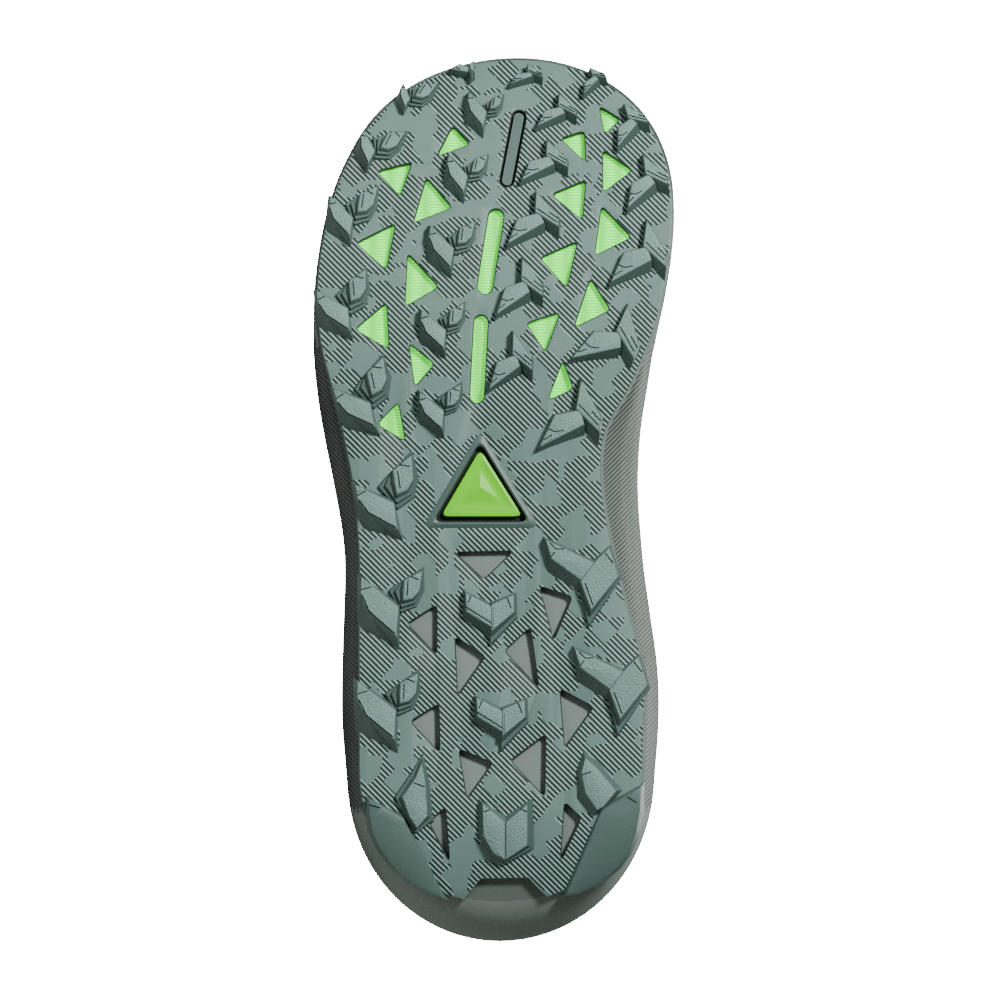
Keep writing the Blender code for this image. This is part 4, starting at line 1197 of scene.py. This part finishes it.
def lug(arm, place, height, steps=1, lines=NO_LINES, bent=False, face=TIP):
    """One finished lug arm on the sprung tread."""
    root = set_back(placed(arm.root, *place), height)
    tip = set_back(placed(arm.tip, *place), height)
    model = bmesh.new()
    rings = lug_rings(root, tip, height, steps)
    layers = [[model.verts.new((p.x, p.y, z)) for p in ring] for ring, z in rings]
    model.faces.new(layers[0]).material_index = WALL
    for low, high in zip(layers, layers[1:]):
        skin(model, low, high, WALL)
    model.faces.new(layers[-1]).material_index = face
    bmesh.ops.recalc_face_normals(model, faces=model.faces)
    mesh = mesh_from(model, "lug")
    if lines:
        drawn = [set_back(placed(line, *place), height) for line in lines]
        mesh = carved(mesh, drawn, height)
    model = bmesh.new()
    model.from_mesh(mesh)
    if bent:
        cut_at_stations(model)
    bend_model(model)
    return mesh_from(model, "lug")


def all_lugs():
    """Every lug arm of the tread."""
    low = LUG_HEIGHT - ARM_DROP
    made = []
    for spot in CHEVRONS:
        place = (spot.u, spot.v, spot.outer, spot.outer, spot.turn)
        made.append(lug(CHEVRON_OUTER, place, LUG_HEIGHT, 1, CHEVRON_OUTER_LINES))
        place = (spot.u, spot.v, spot.inner, spot.inner, spot.turn)
        made.append(lug(STEPPED_ARM, place, low, 3, STEPPED_ARM_LINES))
    for spot in ROOFS:
        made.append(lug(ROOF_RIGHT, tuple(spot), LUG_HEIGHT, 1, ROOF_RIGHT_LINES))
        made.append(lug(ROOF_LEFT, tuple(spot), low, 1, ROOF_LEFT_LINES))
    for spot in HOOKS:
        place = (spot.u, spot.v, 1.0, 1.0, 0.0)
        made.append(lug(HOOK_RIGHT, place, LUG_HEIGHT, 2, HOOK_RIGHT_LINES))
        made.append(lug(HOOK_LEFT, place, low, 1, HOOK_LEFT_LINES))
    for spot in HEARTS:
        place = (spot.u, spot.v, 1.0, 1.0, 0.0)
        made.append(lug(HEART_RIGHT, place, LUG_HEIGHT, 2, HEART_RIGHT_LINES))
        made.append(lug(HEART_LEFT, place, low, 1, HEART_LEFT_LINES))
    as_drawn = (0.0, 0.0, 1.0, 1.0, 0.0)
    for shield, lines in HEEL_SHIELDS:
        made.append(lug(shield, as_drawn, FLANGE_HEIGHT, 1, lines, bent=True, face=PLAIN))
    for arm, steps, lines in HEEL_ARMS:
        made.append(lug(arm, as_drawn, HEEL_ARM_HEIGHT, steps, lines, bent=True))
    return made


def within_tread(point):
    """Whether a place of the rubber lies inside its outline, as the windows' walls do."""
    lateral = side_y(TREAD_EDGE, point.x, -1) + WINDOW_MARGIN
    medial = side_y(TREAD_EDGE, point.x, 1) - WINDOW_MARGIN
    return lateral < point.y < medial and point.x > chart(*HEEL_NOTCH[1])[0] + WINDOW_MARGIN


def build_tread(settings):
    model = filled_sheet([fine_tread_outline(), *window_rings()], 0.0, RUBBER, WINDOW_EDGE)
    model.normal_update()
    for face in model.faces:
        if abs(face.normal.z) <= FLAT_FACE:
            # The windows' walls take the near-black painted shade, the outer edge the darker wall finish,
            # also painted shade
            face.material_index = PAINTED_SHADE if within_tread(face.calc_center_median()) else WALL
    badge_rim(model)
    slot_floor(model, SLOTS[0])
    bmesh.ops.recalc_face_normals(model, faces=model.faces)
    cut_at_stations(model)
    bend_model(model)
    for mesh in all_lugs():
        model.from_mesh(mesh)
        bpy.data.meshes.remove(mesh)
    ribs = RUBBER_RIBS._replace(
        pitch=settings.rib_pitch,
        patch=settings.patch_size,
        depth=settings.rib_depth,
    )
    finishes = [ribbed_material("rubber ribs", settings.rubber_colour, ribs)]
    for name in ("rubber walls painted shade", "rubber tips", "rubber painted shade", "rubber skin"):
        finishes.append(moulded_material(name, settings.rubber_colour))
    add_piece("tread", mesh_from(model, "tread"), finishes, ("outsole",))


def build_badge(settings):
    model = bmesh.new()
    corners = [Vector(chart(u, v)) for u, v in BADGE_PLUG]
    peak = Vector(chart(*BADGE_APEX))
    rings = []
    for share, depth in BADGE_PROFILE:
        ring = round_corners([corner.lerp(peak, share) for corner in corners], PLUG_CORNER * (1.0 - share))
        rings.append([model.verts.new((p.x, p.y, depth)) for p in ring])
    model.faces.new(rings[0])
    for low, high in zip(rings, rings[1:]):
        skin(model, low, high)
    model.faces.new(rings[-1])
    # A near-black plate behind the window, painted shade in the gap round the plug
    plate(model, [chart(u, v) for u, v in BADGE_WINDOW], RUBBER + SHADE_PLATE_GAP, 1)
    bmesh.ops.recalc_face_normals(model, faces=model.faces)
    bend_model(model)
    finishes = [moulded_material(name, settings.badge_colour) for name in ("badge", "badge painted shade plate")]
    add_piece("sole_plug", mesh_from(model, "sole_plug"), finishes, ("sole_badge",))


def build_forefoot_layer(settings):
    start, finish = LAYER_SPAN
    stations = [start + (finish - start) * i / LAYER_STATIONS for i in range(LAYER_STATIONS + 1)]
    lateral = [(x, side_y(TREAD_EDGE, x, -1) + LAYER_MARGIN) for x in stations]
    medial = [(x, side_y(TREAD_EDGE, x, 1) - LAYER_MARGIN) for x in stations]
    near = RUBBER + GAP / 3.0
    model = filled_sheet([lateral + medial[::-1]], near, near + LAYER, 0.0001)
    cut_at_stations(model)
    bend_model(model)
    cloth = woven_material("green textile", settings.layer_colour)
    # Painted light: the cloth glows in its own woven tone, so the windows stay bright
    tree = cloth.node_tree
    shader = tree.nodes["Principled BSDF"]
    tint = shader.inputs["Base Color"].links[0].from_socket
    tree.links.new(tint, shader.inputs["Emission Color"])
    shader.inputs["Emission Strength"].default_value = settings.layer_painted_glow
    mesh = mesh_from(model, "green_layer")
    piece = add_piece("green_layer", mesh, (cloth,), ("forefoot_layer",))


def under_eyestay(share, row):
    return EYESTAY_SHARES[0] < share < EYESTAY_SHARES[1] and row >= EYESTAY_ROW


def surface_axes(turn, row):
    """A place on the upper's outer face with its normal as the third axis."""
    normal = upper_normal(turn, row)
    share = turn_share(turn)
    lift = OVERLAY_STEP if under_eyestay(share, row) else 0.0
    axes = normal.to_track_quat("Z", "Y").to_matrix().to_4x4()
    axes.translation = upper_point(turn, row) + normal * lift
    return axes


def eyelet_places():
    turns = [share_to_turn(share, side) for share in eyelet_shares() for side in (-1, 1)]
    return [surface_axes(turn, EYELET_ROW) for turn in turns]


def eyelet_cutters():
    model = bmesh.new()
    for place in eyelet_places():
        bmesh.ops.create_cone(
            model,
            cap_ends=True,
            segments=EYELET_SIDES,
            radius1=EYELET_RADIUS,
            radius2=EYELET_RADIUS,
            depth=4.0 * UPPER_WALL,
            matrix=place,
        )
    return new_object("eyelet_cutters", mesh_from(model, "eyelet_cutters"))


def eyelet_rims(model):
    """A moulded ring round every eyelet."""
    angles = [FULL_TURN * i / EYELET_SIDES for i in range(EYELET_SIDES)]
    for place in eyelet_places():
        layers = []
        for radius, lift in EYELET_PROFILE:
            ring = [Vector((math.cos(angle) * radius, math.sin(angle) * radius, lift)) for angle in angles]
            layers.append([model.verts.new(place @ point) for point in ring])
        for low, high in zip(layers, layers[1:] + layers[:1]):
            skin(model, low, high, OVERLAY)


def stitch_row(model, start, finish, side, row):
    """Short stitches along the upper at one height, between two shares of the way round."""
    count = STITCH_STATIONS
    turns = [share_to_turn(start + (finish - start) * i / count, side) for i in range(count + 1)]
    path = [upper_point(turn, row) for turn in turns]
    walked, due = 0.0, 0.0
    for here, after, turn in zip(path, path[1:], turns):
        length = (after - here).length
        while due <= walked + length:
            share = (due - walked) / length
            normal = upper_normal(turn, row)
            ahead = (after - here).normalized()
            axes = Matrix((ahead, normal.cross(ahead), normal)).transposed().to_4x4()
            axes.translation = here.lerp(after, share) + normal * STITCH.z / 4.0
            bmesh.ops.create_cube(model, size=1.0, matrix=axes @ Matrix.Diagonal((*STITCH, 1.0)))
            due += STITCH_PITCH
        walked += length


def foam_ring(row):
    ring = []
    for turn in fine_turns():
        widest, outward = edge_frame(WALL_EDGE, turn)
        tread = raw_edge_point(TREAD_EDGE, turn)
        side = turn_side(turn)
        ledge = 0.0 if turn in (0.0, math.pi) else side * FOAM_LEDGE
        base = bend(tread.x, tread.y + ledge, RUBBER + GAP)
        point = tread.lerp(widest, row.outward) - outward * row.inset
        low = tread_height(point.x)
        level = low + (rim_height(point.x) - low) * row.rise
        share = ease(row.rise / FOAM_BLEND)
        ring.append(base.lerp(Vector((point.x, point.y, level)), share))
    return ring


def inner_ring(inset, height):
    ring = []
    for turn in fine_turns():
        here, outward = edge_frame(WALL_EDGE, turn)
        point = here - outward * inset
        ring.append(Vector((point.x, point.y, height(point.x))))
    return ring


def close_ring(model, ring, index=0, heel_index=None):
    """Closes a ring of stations with one face between each pair."""
    count = len(ring)
    half = count // 2
    for i in range(half):
        corners = [ring[i], ring[i + 1], ring[(count - i - 1) % count], ring[(count - i) % count]]
        unique = []
        for corner in corners:
            if corner not in unique:
                unique.append(corner)
        face = model.faces.new(unique)
        at_heel = heel_index is not None and unique[0].co.x < HEEL_SHADE_REACH
        face.material_index = heel_index if at_heel else index


def build_midsole(settings):
    cup = RIM_INSET + RIM_WALL
    rings = [foam_ring(row) for row in SIDE_ROWS]
    rings.append(inner_ring(cup, rim_height))
    rings.append(inner_ring(cup, bed_height))
    model = bmesh.new()
    layers = [[model.verts.new(point) for point in ring] for ring in rings]
    # The bottom's faces at the heel bevel carry painted shade
    close_ring(model, layers[0], FOAM_BOTTOM, FOAM_BEVEL_SHADE)
    for ring, (low, high) in enumerate(zip(layers, layers[1:])):
        for i in range(FINE_LOOP):
            j = (i + 1) % FINE_LOOP
            face = model.faces.new((low[i], low[j], high[j], high[i]))
            face.material_index = foam_finish(face, ring)
    close_ring(model, layers[-1])
    bmesh.ops.recalc_face_normals(model, faces=model.faces)
    foam = settings.foam_colour
    finishes = (
        moulded_material("foam", foam),
        ribbed_material("foam ribs medial", foam, RIBS["foam ribs medial"]),
        moulded_material("foam bottom", settings.base_colour),
        ribbed_material("foam ribs lateral painted shade", foam, RIBS["foam ribs lateral painted shade"]),
        moulded_material("foam heel painted shade", foam),
    )
    add_piece("foam", mesh_from(model, "foam"), finishes, ("midsole",))


def feather_inset():
    return RIM_INSET + RIM_WALL + GAP


def build_insole(settings):
    inset = feather_inset() + UPPER_WALL + 2.0 * GAP
    model = bmesh.new()
    rings = []
    for deeper, lift in FOOTBED_PROFILE:
        rings.append(inner_ring(inset + deeper, lambda x, lift=lift: bed_height(x) + GAP + INSOLE * lift))
    layers = [[model.verts.new(point) for point in ring] for ring in rings]
    close_ring(model, layers[0])
    for low, high in zip(layers, layers[1:]):
        skin(model, low, high)
    close_ring(model, layers[-1])
    bmesh.ops.recalc_face_normals(model, faces=model.faces)
    cloth = woven_material("insole cloth", settings.footbed_colour)
    piece = add_piece("footbed", mesh_from(model, "footbed"), (cloth,), ("insole",))


def topline_point(turn):
    share = turn_share(turn)
    side = turn_side(turn)
    x = read(TOPLINE, "back", share) * SOLE_LENGTH
    half = max(0.0, read(TOPLINE, "half", share)) * HEEL_WIDTH
    if share >= RIDGE_SHARE:
        half = 0.0
    return Vector((x, centre_line(x) + side * half, read(TOPLINE, "height", share) * COLLAR_HEIGHT))


def upper_point(turn, row):
    """A point of the upper's outer face: row 0 is the feather edge, row 1 the topline."""
    share = turn_share(turn)
    here, outward = edge_frame(WALL_EDGE, turn)
    foot = here - outward * feather_inset()
    foot.z = bed_height(foot.x) + GAP
    top = topline_point(turn)
    rise = top.z - foot.z
    low = foot + Vector((0, 0, rise * read(RISES, "foot", share)))
    reach = Vector((foot.x - top.x, foot.y - top.y, 0)) * read(RISES, "shoulder", share)
    high = top + reach - Vector((0, 0, rise * read(RISES, "drop", share)))
    rest = 1.0 - row
    ends = foot * rest ** 3 + top * row ** 3
    return ends + low * (3 * rest * rest * row) + high * (3 * rest * row * row)


def upper_normal(turn, row):
    step = 0.004
    row = min(row, 1.0 - step)
    along = upper_point(turn + step, row) - upper_point(turn - step, row)
    up = upper_point(turn, row + step) - upper_point(turn, row - step)
    return along.cross(up).normalized()


def overlay_edge(share):
    """How high up the upper the heel counter or the toe guard ends."""
    counter = COUNTER_HEEL_EDGE - COUNTER_FALL * share
    guard = GUARD_TOE_EDGE - GUARD_FALL * ease((GUARD_FALL_START - share) / GUARD_FALL_SPAN)
    return counter + (guard - counter) * ease((share - COUNTER_SHARE) / (GUARD_SHARE - COUNTER_SHARE))


def grid_row(share, line):
    """The height share of one line of the upper's grid, which follows the overlays' edges."""
    edge = overlay_edge(share)
    low = min(LOW_ROW, LOW_SHARE * edge)
    if line <= COUNTER_LINE:
        return low * line / COUNTER_LINE
    if line <= EDGE_LINE:
        return low + (edge - low) * (line - COUNTER_LINE) / (EDGE_LINE - COUNTER_LINE)
    if line >= FREE_LINE:
        return line / GRID_LINES
    first = edge + EDGE_SLOPE
    return first + (FREE_LINE / GRID_LINES - first) * (line - EDGE_LINE - 1) / (FREE_LINE - EDGE_LINE - 1)


def in_overlay(share, line):
    """Whether a place on the upper's grid is under the toe guard, the heel counter or the eyestay."""
    guard = share > GUARD_SHARE and line <= EDGE_LINE
    counter = share < COUNTER_SHARE and COUNTER_LINE < line <= EDGE_LINE
    return guard or counter or under_eyestay(share, line / GRID_LINES)


def build_upper(settings):
    model = bmesh.new()
    padded = []
    grid = []
    for line in range(GRID_LINES + 1):
        ring = []
        for turn in fine_turns():
            share = turn_share(turn)
            row = grid_row(share, line)
            point = upper_point(turn, row)
            if in_overlay(share, line):
                point = point + upper_normal(turn, row) * OVERLAY_STEP
            vertex = model.verts.new(point)
            ring.append(vertex)
            if share < PADDED_SHARE and line >= FREE_LINE:
                padded.append(vertex)
        grid.append(ring)
    for line, (low, high) in enumerate(zip(grid, grid[1:])):
        for i, turn in enumerate(fine_turns()):
            j = (i + 1) % FINE_LOOP
            share = turn_share(turn)
            face = model.faces.new((low[i], low[j], high[j], high[i]))
            face.material_index = OVERLAY if in_overlay(share, line + 0.5) else CLOTH
    model.verts.index_update()
    numbers = [vertex.index for vertex in padded]
    ridge = [vertex for vertex in grid[-1] if vertex.co.x > TOPLINE[RIDGE_ROW].back * SOLE_LENGTH - MERGE]
    bmesh.ops.remove_doubles(model, verts=ridge, dist=MERGE)
    mesh = mesh_from(model, "upper_shell")
    finishes = upper_finishes(settings)
    for finish in finishes:
        mesh.materials.append(finish)
    shell = new_object("shell", mesh)
    group = shell.vertex_groups.new(name="padded_collar")
    group.add([number for number in numbers if number < len(mesh.vertices)], 1.0, "REPLACE")
    solidify = shell.modifiers.new("wall", "SOLIDIFY")
    solidify.thickness = COLLAR_WALL
    solidify.offset = -1.0
    solidify.use_even_offset = False
    solidify.vertex_group = group.name
    solidify.thickness_vertex_group = UPPER_WALL / COLLAR_WALL
    solidify.material_offset = LINING
    holes = shell.modifiers.new("eyelets", "BOOLEAN")
    holes.object = eyelet_cutters()
    holes.solver = "EXACT"
    model = bmesh.new()
    model.from_mesh(evaluated(shell, holes.object))
    eyelet_rims(model)
    seams = bmesh.new()
    for side in (-1, 1):
        start, finish = EYESTAY_SHARES
        stitch_row(seams, start + STITCH_INSET, finish - STITCH_INSET, side, EYESTAY_STITCH_ROW)
        stitch_row(seams, COLLAR_STITCH_START, PADDED_SHARE, side, COLLAR_STITCH_ROW)
    for face in seams.faces:
        face.material_index = THREAD
    stitches = mesh_from(seams, "stitches")
    model.from_mesh(stitches)
    bpy.data.meshes.remove(stitches)
    finished = mesh_from(model, "upper_shell")
    add_piece("upper_shell", finished, finishes, ("upper",))


def upper_finishes(settings):
    """The upper's finishes, with the lining twice: behind the cloth and behind the overlays."""
    knit = woven_material("knit", settings.knit_colour)
    overlay = moulded_material("overlay", settings.overlay_colour)
    lining = woven_material("lining", settings.overlay_colour)
    thread = moulded_material("thread", settings.lace_colour)
    return knit, overlay, lining, lining, thread


def share_to_turn(share, side):
    turn = math.acos(1.0 - 2.0 * share)
    return turn if side < 0 else FULL_TURN - turn


def eyelet_shares():
    start, finish = EYELET_SHARES
    return [start + (finish - start) * i / (EYELET_PAIRS - 1) for i in range(EYELET_PAIRS)]


def tongue_section(share, shift, narrow):
    """Points across the tongue's top face, just inside the eyestay, lateral side first."""
    inside = UPPER_WALL - OVERLAY_STEP + TONGUE_CLEARANCE
    sides = []
    for side in (-1, 1):
        turn = share_to_turn(share, side)
        points = []
        for row in TONGUE_ROWS:
            points.append(upper_point(turn, row) - upper_normal(turn, row) * inside)
        sides.append(points)
    lateral, medial = sides
    centre = (lateral[-1] + medial[-1]) / 2.0
    section = lateral + [centre] + medial[::-1]
    middle = centre.y
    return [Vector((p.x, middle + (p.y - middle) * narrow, p.z)) + shift for p in section]


def build_tongue(settings):
    start, finish = TONGUE_STATIONS
    shares = [turn_share(math.pi * i / STATIONS) for i in range(start, finish + 1)]
    rise = Vector((-TONGUE_RISE, 0, TONGUE_RISE))
    tuck = Vector((TONGUE_TUCK, 0, -TUCK_DROP))
    sections = [tongue_section(shares[0], rise * tip.along, tip.width) for tip in TONGUE_TIP]
    sections.extend(tongue_section(share, Vector(), 1.0) for share in shares)
    sections.append(tongue_section(shares[-1], tuck, TUCK_WIDTH))
    model = bmesh.new()
    rows = [[model.verts.new(point) for point in section] for section in sections]
    for near, far in zip(rows, rows[1:]):
        for i in range(len(near) - 1):
            model.faces.new((near[i], near[i + 1], far[i + 1], far[i]))
    bmesh.ops.recalc_face_normals(model, faces=model.faces)
    if sum(face.normal.z for face in model.faces) < 0:
        bmesh.ops.reverse_faces(model, faces=model.faces)
    cloth = woven_material("tongue cloth", settings.knit_colour)
    piece = add_piece("tongue_pad", mesh_from(model, "tongue_pad"), (cloth,), ("tongue",))
    solidify = piece.modifiers.new("padding", "SOLIDIFY")
    solidify.thickness = TONGUE
    solidify.offset = -1.0
    smooth = piece.modifiers.new("rounding", "SUBSURF")
    smooth.levels = 2
    smooth.render_levels = 2


def lace_route(near_share, far_share, side):
    """Up out of an eyelet on one side, over the tongue, and down into one on the other side."""
    clear = LACE_RADIUS + OVERLAY_STEP + LACE_CLEARANCE
    points = []
    for turn_side, share, row, lift in (
        (side, near_share, EYELET_ROW, -UPPER_WALL),
        (side, near_share, EYELET_ROW, clear),
        (side, near_share + (far_share - near_share) * LACE_LEAVE, 1.0, clear),
        (-side, far_share + (near_share - far_share) * LACE_LEAVE, 1.0, clear),
        (-side, far_share, EYELET_ROW, clear),
        (-side, far_share, EYELET_ROW, -UPPER_WALL),
    ):
        turn = share_to_turn(share, turn_side)
        points.append(upper_point(turn, row) + upper_normal(turn, row) * lift)
    height = LACE_CROWN + STRAND_STEP * LACE_RADIUS * side
    crown = (points[2] + points[3]) / 2.0 + Vector(THROAT_UP) * height
    return points[:3] + [crown] + points[3:]


def build_lace(settings):
    curve = bpy.data.curves.new("lace_strands", "CURVE")
    curve.dimensions = "3D"
    curve.bevel_depth = settings.lace_width / 2.0
    curve.bevel_resolution = 3
    curve.use_fill_caps = True
    curve.resolution_u = 8
    shares = eyelet_shares()
    routes = []
    for near, far in zip(shares, shares[1:]):
        routes.append(lace_route(near, far, -1))
        routes.append(lace_route(near, far, 1))
    routes.append(lace_route(shares[-1], shares[-1], -1))
    for route in routes:
        spline = curve.splines.new("NURBS")
        spline.points.add(len(route) - 1)
        for point, place in zip(spline.points, route):
            point.co = (*place, 1.0)
        spline.use_endpoint_u = True
        spline.order_u = 4
    mesh = evaluated(new_object("strands", curve))
    cloth = woven_material("lace cloth", settings.lace_colour)
    add_piece("lace_strands", mesh, (cloth,), ("lace",))


def build_stage(settings):
    """Floor, lights and a long lens that looks squarely at the sole, the toe up in the picture."""
    build_floor()
    turn = WORN.to_3x3()
    toe, medial, facing = turn.col[0].normalized(), turn.col[1].normalized(), -turn.col[2].normalized()
    middle = WORN @ Vector(SHOE_MIDDLE)
    lens = bpy.data.cameras.new("camera")
    lens.sensor_width = SENSOR_WIDTH
    lens.lens = lens.sensor_width * settings.camera_distance / settings.view_width
    lens.clip_end = FARTHEST
    camera = new_object("camera", lens)
    turned = Matrix((medial, toe, facing)).transposed().to_4x4()
    turned.translation = middle + facing * settings.camera_distance
    camera.matrix_world = turned
    bpy.context.scene.camera = camera
    for name, place, size, power in (
        ("key", KEY_PLACE, KEY_SIZE, settings.key_power),
        ("fill", FILL_PLACE, FILL_SIZE, settings.fill_power),
    ):
        lamp = middle + (medial * place[0] + toe * place[1] + facing * place[2])
        soft_light(name, lamp, middle, size, power)
    soft_light("back", middle + Vector(BACK_PLACE), middle, BACK_SIZE, settings.back_power)
    world = bpy.data.worlds.new("studio")
    world.use_nodes = True
    background = world.node_tree.nodes["Background"]
    background.inputs["Color"].default_value = WHITE
    background.inputs["Strength"].default_value = settings.sky_strength
    bpy.context.scene.world = world


class TreadSettings(bpy.types.PropertyGroup):
    """Sizes and colours of the tread."""

    rib_pitch: FloatProperty(
        name="Rib pitch", description="Distance from one fine rib to the next",
        default=RUBBER_RIBS.pitch, unit="LENGTH",
    )
    rib_depth: FloatProperty(
        name="Rib depth", description="Height of the fine ribs",
        default=RUBBER_RIBS.depth, unit="LENGTH",
    )
    patch_size: FloatProperty(
        name="Patch size", description="Width of the smooth patches between the ribs",
        default=RUBBER_RIBS.patch, unit="LENGTH",
    )
    rubber_colour: FloatVectorProperty(
        name="Rubber", description="Colour of the rubber", subtype="COLOR", default=linear(106, 136, 127)
    )
    badge_colour: FloatVectorProperty(
        name="Plug", description="Colour of the green plug", subtype="COLOR", default=linear(114, 228, 16)
    )
    # Painted light: the glow of the cloth behind the windows
    layer_painted_glow: FloatProperty(
        name="Layer glow", description="How strongly the bright cloth glows", default=0.75
    )
    layer_colour: FloatVectorProperty(
        name="Layer", description="Colour of the cloth behind the windows", subtype="COLOR",
        default=linear(92, 255, 72),
    )


class FoamSettings(bpy.types.PropertyGroup):
    """Colours of the foam and the footbed."""

    foam_colour: FloatVectorProperty(
        name="Foam", description="Colour of the midsole foam", subtype="COLOR", default=linear(118, 132, 123)
    )
    base_colour: FloatVectorProperty(
        name="Foam base", description="Colour of the foam behind the heel's windows", subtype="COLOR",
        default=linear(118, 132, 126),
    )
    footbed_colour: FloatVectorProperty(
        name="Footbed", description="Colour of the footbed's cloth", subtype="COLOR",
        default=linear(62, 70, 66),
    )


class UpperSettings(bpy.types.PropertyGroup):
    """Colours and sizes of the upper, its tongue and its lace."""

    knit_colour: FloatVectorProperty(
        name="Cloth", description="Colour of the upper's cloth", subtype="COLOR", default=linear(84, 102, 94)
    )
    overlay_colour: FloatVectorProperty(
        name="Overlays", description="Colour of the moulded overlays", subtype="COLOR",
        default=linear(54, 62, 58),
    )
    lace_colour: FloatVectorProperty(
        name="Lace", description="Colour of the lace", subtype="COLOR", default=linear(134, 206, 96)
    )
    lace_width: FloatProperty(
        name="Lace width", description="Thickness of the lace", default=0.0026, unit="LENGTH"
    )


class StageSettings(bpy.types.PropertyGroup):
    """The camera and the lights."""

    camera_distance: FloatProperty(
        name="Camera distance", description="From the sole to the camera", default=6.0, unit="LENGTH"
    )
    view_width: FloatProperty(
        name="View width", description="Width that the picture covers at the sole",
        default=0.34014, unit="LENGTH",
    )
    key_power: FloatProperty(
        name="Key power", description="Power of the key light", default=58.0, unit="POWER"
    )
    fill_power: FloatProperty(
        name="Fill power", description="Power of the fill light", default=1.5, unit="POWER"
    )
    back_power: FloatProperty(
        name="Back power", description="Power of the back light", default=30.0, unit="POWER"
    )
    sky_strength: FloatProperty(name="Sky strength", description="Strength of the even light", default=0.04)


class SHOE_OT_tread(bpy.types.Operator):
    """Build the rubber tread with its lugs"""

    bl_idname = "shoe.tread"
    bl_label = "Build tread"

    def execute(self, context):
        build_tread(context.scene.shoe_tread)
        return {"FINISHED"}


class SHOE_OT_greens(bpy.types.Operator):
    """Build the green plug and the cloth behind the windows"""

    bl_idname = "shoe.greens"
    bl_label = "Build plug and layer"

    def execute(self, context):
        build_badge(context.scene.shoe_tread)
        build_forefoot_layer(context.scene.shoe_tread)
        return {"FINISHED"}


class SHOE_OT_foam(bpy.types.Operator):
    """Build the foam midsole and the footbed"""

    bl_idname = "shoe.foam"
    bl_label = "Build foam"

    def execute(self, context):
        build_midsole(context.scene.shoe_foam)
        build_insole(context.scene.shoe_foam)
        return {"FINISHED"}


class SHOE_OT_upper(bpy.types.Operator):
    """Build the upper and its tongue"""

    bl_idname = "shoe.upper"
    bl_label = "Build upper"

    def execute(self, context):
        build_upper(context.scene.shoe_upper)
        build_tongue(context.scene.shoe_upper)
        return {"FINISHED"}


class SHOE_OT_lace(bpy.types.Operator):
    """Build the lace and run it through the eyelets"""

    bl_idname = "shoe.lace"
    bl_label = "Build lace"

    def execute(self, context):
        build_lace(context.scene.shoe_upper)
        return {"FINISHED"}


class SHOE_OT_stage(bpy.types.Operator):
    """Set the floor, the lights and the camera"""

    bl_idname = "shoe.stage"
    bl_label = "Set stage"

    def execute(self, context):
        build_stage(context.scene.shoe_stage)
        return {"FINISHED"}


class SHOE_PT_panel(bpy.types.Panel):
    """Settings and buttons for the shoe"""

    bl_label = "Trail running shoe"
    bl_idname = "SHOE_PT_panel"
    bl_space_type = "VIEW_3D"
    bl_region_type = "UI"
    bl_category = "Shoe"

    def draw(self, context):
        layout = self.layout
        for holder, kind in SETTINGS.items():
            for name in kind.__annotations__:
                layout.prop(getattr(context.scene, holder), name)
        for operator in OPERATORS:
            layout.operator(operator.bl_idname)


SETTINGS = {
    "shoe_tread": TreadSettings,
    "shoe_foam": FoamSettings,
    "shoe_upper": UpperSettings,
    "shoe_stage": StageSettings,
}
OPERATORS = (SHOE_OT_tread, SHOE_OT_greens, SHOE_OT_foam, SHOE_OT_upper, SHOE_OT_lace, SHOE_OT_stage)
CLASSES = (*SETTINGS.values(), *OPERATORS, SHOE_PT_panel)


def register():
    for made in CLASSES:
        bpy.utils.register_class(made)
    for holder, kind in SETTINGS.items():
        setattr(bpy.types.Scene, holder, PointerProperty(type=kind))


def unregister():
    for holder in SETTINGS:
        delattr(bpy.types.Scene, holder)
    for made in reversed(CLASSES):
        bpy.utils.unregister_class(made)


def main():
    register()
    bpy.ops.shoe.tread()
    bpy.ops.shoe.greens()
    bpy.ops.shoe.foam()
    bpy.ops.shoe.upper()
    bpy.ops.shoe.lace()
    bpy.ops.shoe.stage()


if __name__ == "__main__":
    main()
